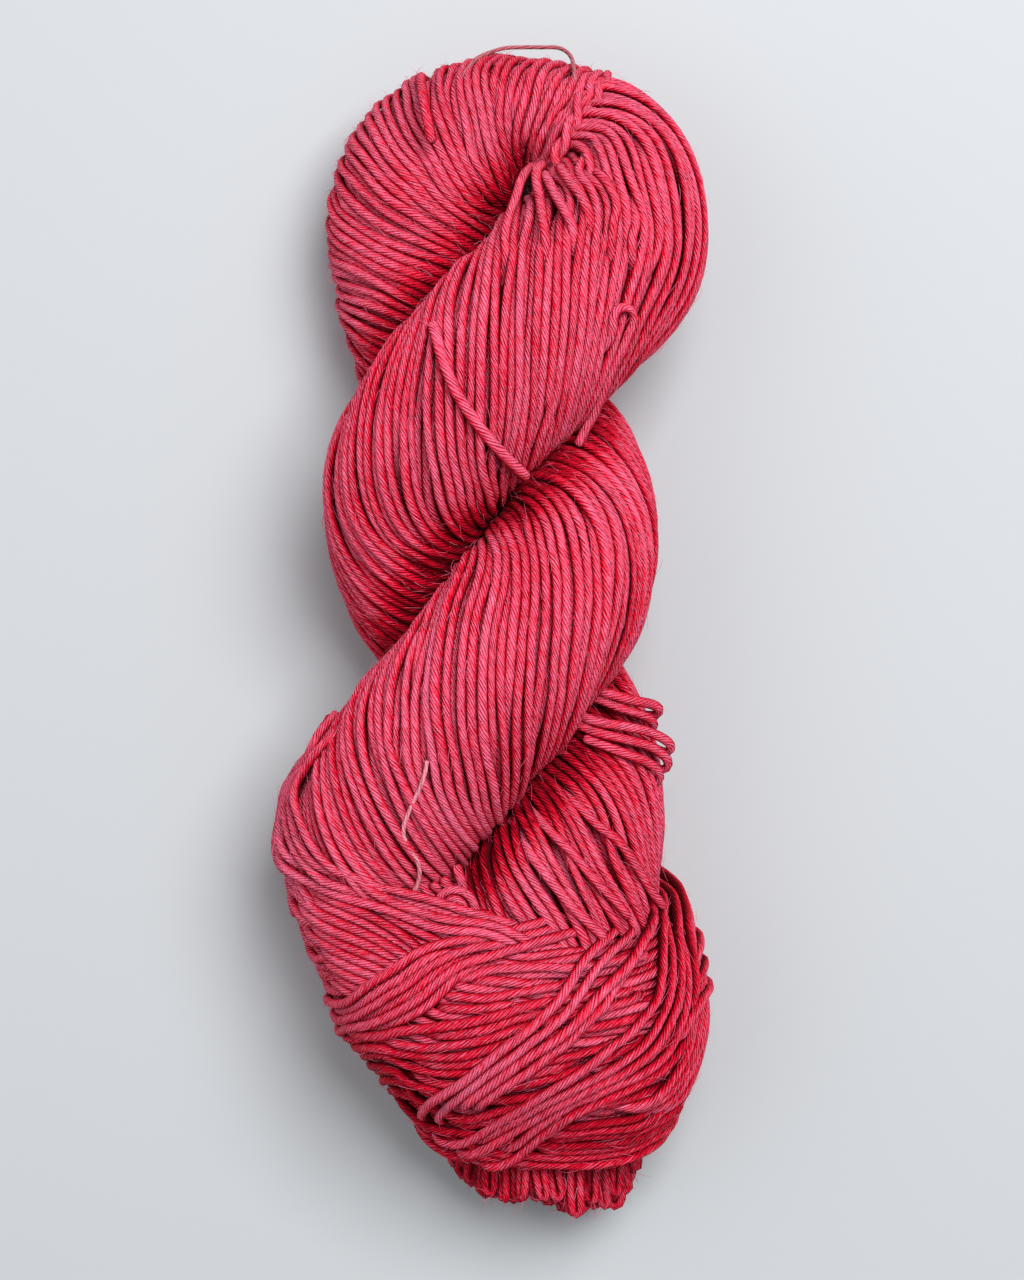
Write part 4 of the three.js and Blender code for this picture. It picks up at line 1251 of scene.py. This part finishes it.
def mathNode(tree, operation, a, b=None):
    # One Math node; a and b are sockets or plain numbers.
    made = node(tree, "ShaderNodeMath", operation=operation)
    for value, socket in zip((a, b), made.inputs):
        if value is not None:
            feed(tree, value, socket)
    return made.outputs[0]


def noiseNode(tree, scale, detail, vector):
    made = node(tree, "ShaderNodeTexNoise")
    for name, value in (("Scale", scale), ("Detail", detail), ("Vector", vector)):
        feed(tree, value, made.inputs[name])
    return made.outputs["Fac"]


def makeGroup(name, inputs, outputs):
    # An empty node group with its named inputs, as name: value, and its named outputs, as
    # name: kind. A colour has four numbers.
    tree = bpy.data.node_groups.new(name, "ShaderNodeTree")
    for label, value in inputs.items():
        kind = "NodeSocketFloat" if isinstance(value, float) else "NodeSocketColor"
        socket = tree.interface.new_socket(name=label, in_out="INPUT", socket_type=kind)
        socket.default_value = value
    for label, kind in outputs.items():
        tree.interface.new_socket(name=label, in_out="OUTPUT", socket_type=kind)
    return tree, node(tree, "NodeGroupInput"), node(tree, "NodeGroupOutput")


# The twist of the fine plies: sizes of its noises across the plies and along the strand, in plies
# and strand widths
twisting = {
    "drift": (0.35, 0.6), "driftSize": 1.1,
    "fibres": (2.6, 1.1), "fibreDetail": 3.0,
    "grooveSharpness": 2.0,
    "ownSeed": 61.0,
}


def makeTwistGroup(style):
    # Fine plies twisted round a strand, read from its UV: phase = plies · (u + v/turn) + slow
    # noise, height = 1 − (2·fract(phase) − 1)², a groove mask that is 1 between two plies, which
    # the colour takes as painted shade, and streaks of noise drawn out along the plies for the
    # single fibres. The round shading is (2u − 1)², 0 on the side that faces out of the hank and 1
    # on the one that faces in: a painted highlight along each strand's crest and painted shade
    # down its sides and underside.
    tree, into, out = makeGroup(
        "twistedPlies", {"Plies": 8.0, "Widths per Turn": 5.4},
        dict.fromkeys(("Height", "PaintedGrooveShade", "Fibres", "PaintedRoundShading"), "NodeSocketFloat"))
    uv = node(tree, "ShaderNodeUVMap", uv_map="alongStrand")
    parts = node(tree, "ShaderNodeSeparateXYZ")
    feed(tree, uv.outputs[0], parts.inputs[0])
    u, v = parts.outputs["X"], parts.outputs["Y"]
    tint = node(tree, "ShaderNodeAttribute", attribute_name="tint")
    own = mathNode(tree, "MULTIPLY", tint.outputs["Fac"], style["ownSeed"])
    turned = mathNode(tree, "DIVIDE", v, into.outputs["Widths per Turn"])
    around = mathNode(tree, "MULTIPLY", mathNode(tree, "ADD", u, turned), into.outputs["Plies"])

    def noiseAlong(scales, detail):
        # Noise of the distance across the plies, the distance along the strand and its own seed.
        vector = node(tree, "ShaderNodeCombineXYZ")
        feed(tree, mathNode(tree, "MULTIPLY", around, scales[0]), vector.inputs["X"])
        feed(tree, mathNode(tree, "MULTIPLY", v, scales[1]), vector.inputs["Y"])
        feed(tree, own, vector.inputs["Z"])
        return noiseNode(tree, 1.0, detail, vector.outputs[0])

    def twiceLessOne(value):
        return mathNode(tree, "SUBTRACT", mathNode(tree, "MULTIPLY", value, 2.0), 1.0)

    def squared(value):
        return mathNode(tree, "MULTIPLY", value, value)

    slow = mathNode(tree, "MULTIPLY", noiseAlong(style["drift"], 1.0), style["driftSize"])
    place = mathNode(tree, "ADD", around, slow)
    hollow = squared(twiceLessOne(mathNode(tree, "FRACT", place)))
    for name, value in (
            ("Height", mathNode(tree, "SUBTRACT", 1.0, hollow)),
            ("PaintedGrooveShade", mathNode(tree, "POWER", hollow, style["grooveSharpness"])),
            ("Fibres", noiseAlong(style["fibres"], style["fibreDetail"])),
            ("PaintedRoundShading", squared(twiceLessOne(u)))):
        feed(tree, value, out.inputs[name])
    return tree


# Dyed colour and painted shade: each effect as (the value at which it changes nothing, how far
# it moves the colour)
dyeAndShadeEffects = {
    "tint": (0.0, 0.2), "paintedFoldShade": (0.0, -1.1), "patches": (0.5, 0.9), "fleck": (0.5, 0.8),
    "Fibres": (0.5, 2.6), "PaintedGrooveShade": (0.3, -1.0), "PaintedRoundShading": (0.1, -3.8),
    "patchDetail": 2.0, "fleckScale": 2600.0, "fleckDetail": 2.0,
}


def makeDyeAndShadeGroup(style):
    # The colour drifts between a lighter and a deeper one over the hank, differs a little from
    # strand to strand and is streaked along the fibres. It also carries painted shade: darker
    # between the plies, down the sides of each strand, where a strand lies in a fold and on the low
    # and deep groups through their tint, with a painted highlight along each crest. Sum s of the
    # effects: middle to light by s, or to deep by −s.
    tree, into, out = makeGroup(
        "handDyeingAndPaintedShade", {
            "Light": (0.9, 0.2, 0.3, 1), "Middle": (0.7, 0.08, 0.16, 1),
            "Deep": (0.4, 0.02, 0.06, 1), "Patch Size": 40.0,
            "PaintedGrooveShade": 0.0, "Fibres": 0.5, "PaintedRoundShading": 0.0},
        {"Color": "NodeSocketColor", "Fleck": "NodeSocketFloat"})
    place = node(tree, "ShaderNodeTexCoord").outputs["Object"]
    values = {name: node(tree, "ShaderNodeAttribute", attribute_name=name).outputs["Fac"]
              for name in ("tint", "paintedFoldShade")}
    values["patches"] = noiseNode(
        tree, into.outputs["Patch Size"], style["patchDetail"], place)
    values["fleck"] = noiseNode(tree, style["fleckScale"], style["fleckDetail"], place)
    values.update({name: into.outputs[name] for name in ("Fibres", "PaintedGrooveShade", "PaintedRoundShading")})
    total = 0.0
    for name, value in values.items():
        middle, size = style[name]
        moved = mathNode(tree, "MULTIPLY", mathNode(tree, "SUBTRACT", value, middle), size)
        total = mathNode(tree, "ADD", total, moved)
    mixed = into.outputs["Middle"]
    for name, factor in (("Light", total), ("Deep", mathNode(tree, "MULTIPLY", total, -1.0))):
        mix = node(tree, "ShaderNodeMix", data_type="RGBA")
        feed(tree, factor, mix.inputs["Factor"])
        feed(tree, mixed, mix.inputs["A"])
        feed(tree, into.outputs[name], mix.inputs["B"])
        mixed = mix.outputs["Result"]
    feed(tree, mixed, out.inputs["Color"])
    feed(tree, values["fleck"], out.inputs["Fleck"])
    return tree


twistGroup = makeTwistGroup(twisting)
dyeAndShadeGroup = makeDyeAndShadeGroup(dyeAndShadeEffects)


def colour(red, green, blue):
    # A display colour, 0 to 255, as linear light.
    c = np.array([red, green, blue]) / 255
    linear = np.where(c <= 0.04045, c / 12.92, ((c + 0.055) / 1.055) ** 2.4)
    return (*linear.tolist(), 1.0)


# Light, middle and deep are the dyed colours, the inner yarn's dark as painted shade. Plied
# finishes also have their twist.
finishes = {
    "yarn": {
        "light": colour(255, 120, 154), "middle": colour(232, 8, 46), "deep": colour(84, 0, 9),
        "patchSize": 34.0, "plies": 9.0, "widthsPerTurn": 4.6, "gloss": 0.06, "sheen": 0.02,
        "sheenTint": colour(255, 150, 175), "roughness": 0.5, "bump": 1.0, "bumpDepth": 0.0003},
    "duskyThread": {
        "light": colour(196, 110, 118), "middle": colour(160, 74, 84), "deep": colour(100, 36, 46),
        "patchSize": 90.0, "plies": 3.0, "widthsPerTurn": 3.2, "gloss": 0.15, "sheen": 0.3,
        "sheenTint": colour(255, 200, 205), "roughness": 0.7, "bump": 0.8, "bumpDepth": 0.0003},
    "paleThread": {
        "light": colour(246, 168, 180), "middle": colour(226, 118, 136),
        "deep": colour(170, 50, 74), "patchSize": 90.0, "plies": 3.0, "widthsPerTurn": 3.2,
        "gloss": 0.15, "sheen": 0.3, "sheenTint": colour(255, 210, 215), "roughness": 0.7,
        "bump": 0.8, "bumpDepth": 0.0003},
    "innerYarnPaintedShade": {
        "light": colour(110, 8, 30), "middle": colour(86, 4, 20), "deep": colour(50, 0, 10),
        "patchSize": 120.0, "gloss": 0.05, "roughness": 0.9, "bump": 0.8, "bumpDepth": 0.0004},
    "singleFibre": {
        "light": colour(250, 124, 154), "middle": colour(232, 54, 92), "deep": colour(150, 10, 40),
        "patchSize": 120.0, "gloss": 0.05, "roughness": 0.9, "bump": 0.8, "bumpDepth": 0.0004},
}
pliedRelief = {"Height": 1.2, "Fibres": 2.2, "Fleck": 0.8}  # shares in the bump's height
sheenRoughness = 0.4
fleckRoughness = 0.25  # added to the roughness where the fleck is 1


def fibreMaterial(name, look):
    # Matt dyed cotton. A plied one is ridged by its fine plies and has a soft sheen of fibre ends;
    # the felted inside of the hank, dark as painted shade, and the single fibres have their fleck
    # alone.
    material = bpy.data.materials.new(name)
    material.use_nodes = True
    tree = material.node_tree
    shader = tree.nodes["Principled BSDF"]
    shader.inputs["Specular IOR Level"].default_value = look["gloss"]
    shader.inputs["Roughness"].default_value = look["roughness"]
    shadedDye = node(tree, "ShaderNodeGroup", node_tree=dyeAndShadeGroup)
    for label, key in (("Light", "light"), ("Middle", "middle"), ("Deep", "deep"),
                       ("Patch Size", "patchSize")):
        shadedDye.inputs[label].default_value = look[key]
    feed(tree, shadedDye.outputs["Color"], shader.inputs["Base Color"])
    height = shadedDye.outputs["Fleck"]
    if "plies" in look:
        shader.inputs["Sheen Weight"].default_value = look["sheen"]
        shader.inputs["Sheen Roughness"].default_value = sheenRoughness
        shader.inputs["Sheen Tint"].default_value = look["sheenTint"]
        twist = node(tree, "ShaderNodeGroup", node_tree=twistGroup)
        twist.inputs["Plies"].default_value = look["plies"]
        twist.inputs["Widths per Turn"].default_value = look["widthsPerTurn"]
        for label in ("PaintedGrooveShade", "Fibres", "PaintedRoundShading"):
            feed(tree, twist.outputs[label], shadedDye.inputs[label])
        rough = mathNode(tree, "MULTIPLY", shadedDye.outputs["Fleck"], fleckRoughness)
        feed(tree, mathNode(tree, "ADD", rough, look["roughness"]), shader.inputs["Roughness"])
        height = 0.0
        for label, share in pliedRelief.items():
            source = shadedDye if label == "Fleck" else twist
            part = mathNode(tree, "MULTIPLY", source.outputs[label], share)
            height = mathNode(tree, "ADD", height, part)
    bump = node(tree, "ShaderNodeBump")
    bump.inputs["Strength"].default_value = look["bump"]
    bump.inputs["Distance"].default_value = look["bumpDepth"]
    feed(tree, height, bump.inputs["Height"])
    feed(tree, bump.outputs["Normal"], shader.inputs["Normal"])
    return material


materials = {name: fibreMaterial(name, look) for name, look in finishes.items()}


def finishPiece(piece, finish):
    # The material of a finished piece, its body, and the solid that it stands for.
    piece.data.materials.append(materials[finish])
    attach(piece, "root")
    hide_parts("hank")


for name, strands in pieces.items():
    sides = 6 if name in ("plyUnder", "ringUnder") else 8
    finishPiece(strandsMesh(name, strands, sides), "yarn")
# The core under the ply and ring strands takes the dark painted shade colours.
finishPiece(coreMesh("innerHank", coreParts), "innerYarnPaintedShade")
finishPiece(fibres, "singleFibre")
for name, cord in freeCords.items():
    cordPieces[name].data.materials.append(materials[cord["finish"]])
print("finishes on")


# Floor and light
studio = {
    "floorSize": 6.0, "floorColour": (0.495, 0.516, 0.534, 1.0), "floorRoughness": 0.9,
    "floorGloss": 0.1,
    "keyPlace": (0.32, 0.42, 1.0), "keySize": 0.65, "keyPower": 15.4,
    "fillPlace": (-0.9, 0.1, 0.9), "fillSize": 1.3, "fillPower": 4.0,
    "skyColour": (0.95, 0.965, 1.0, 1.0), "skyStrength": 0.36,
}


def makeFloor(style):
    half = style["floorSize"] / 2
    corners = [(-half, -half, 0), (half, -half, 0), (half, half, 0), (-half, half, 0)]
    mesh = bpy.data.meshes.new("paleFloor")
    mesh.from_pydata(corners, [], [(0, 1, 2, 3)])
    floor = bpy.data.objects.new("paleFloor", mesh)
    bpy.context.scene.collection.objects.link(floor)
    material = bpy.data.materials.new("paleFloor")
    material.use_nodes = True
    shader = material.node_tree.nodes["Principled BSDF"]
    shader.inputs["Base Color"].default_value = style["floorColour"]
    shader.inputs["Roughness"].default_value = style["floorRoughness"]
    shader.inputs["Specular IOR Level"].default_value = style["floorGloss"]
    mesh.materials.append(material)


def softLight(name, place, size, power):
    # A square lamp at that place, turned to face the hank.
    data = bpy.data.lights.new(name, "AREA")
    data.size = size
    data.energy = power
    lamp = bpy.data.objects.new(name, data)
    away = np.array(place) / np.linalg.norm(place)
    lamp.location = place
    lamp.rotation_euler = (math.acos(away[2]), 0, math.atan2(away[1], away[0]) + math.pi / 2)
    bpy.context.scene.collection.objects.link(lamp)


def softSky(style):
    world = bpy.data.worlds.new("softSky")
    world.use_nodes = True
    background = world.node_tree.nodes["Background"]
    background.inputs["Color"].default_value = style["skyColour"]
    background.inputs["Strength"].default_value = style["skyStrength"]
    bpy.context.scene.world = world


makeFloor(studio)
softLight("keyLight", studio["keyPlace"], studio["keySize"], studio["keyPower"])
softLight("fillLight", studio["fillPlace"], studio["fillSize"], studio["fillPower"])
softSky(studio)
bpy.context.scene.view_settings.view_transform = "Standard"
print("floor and light set")
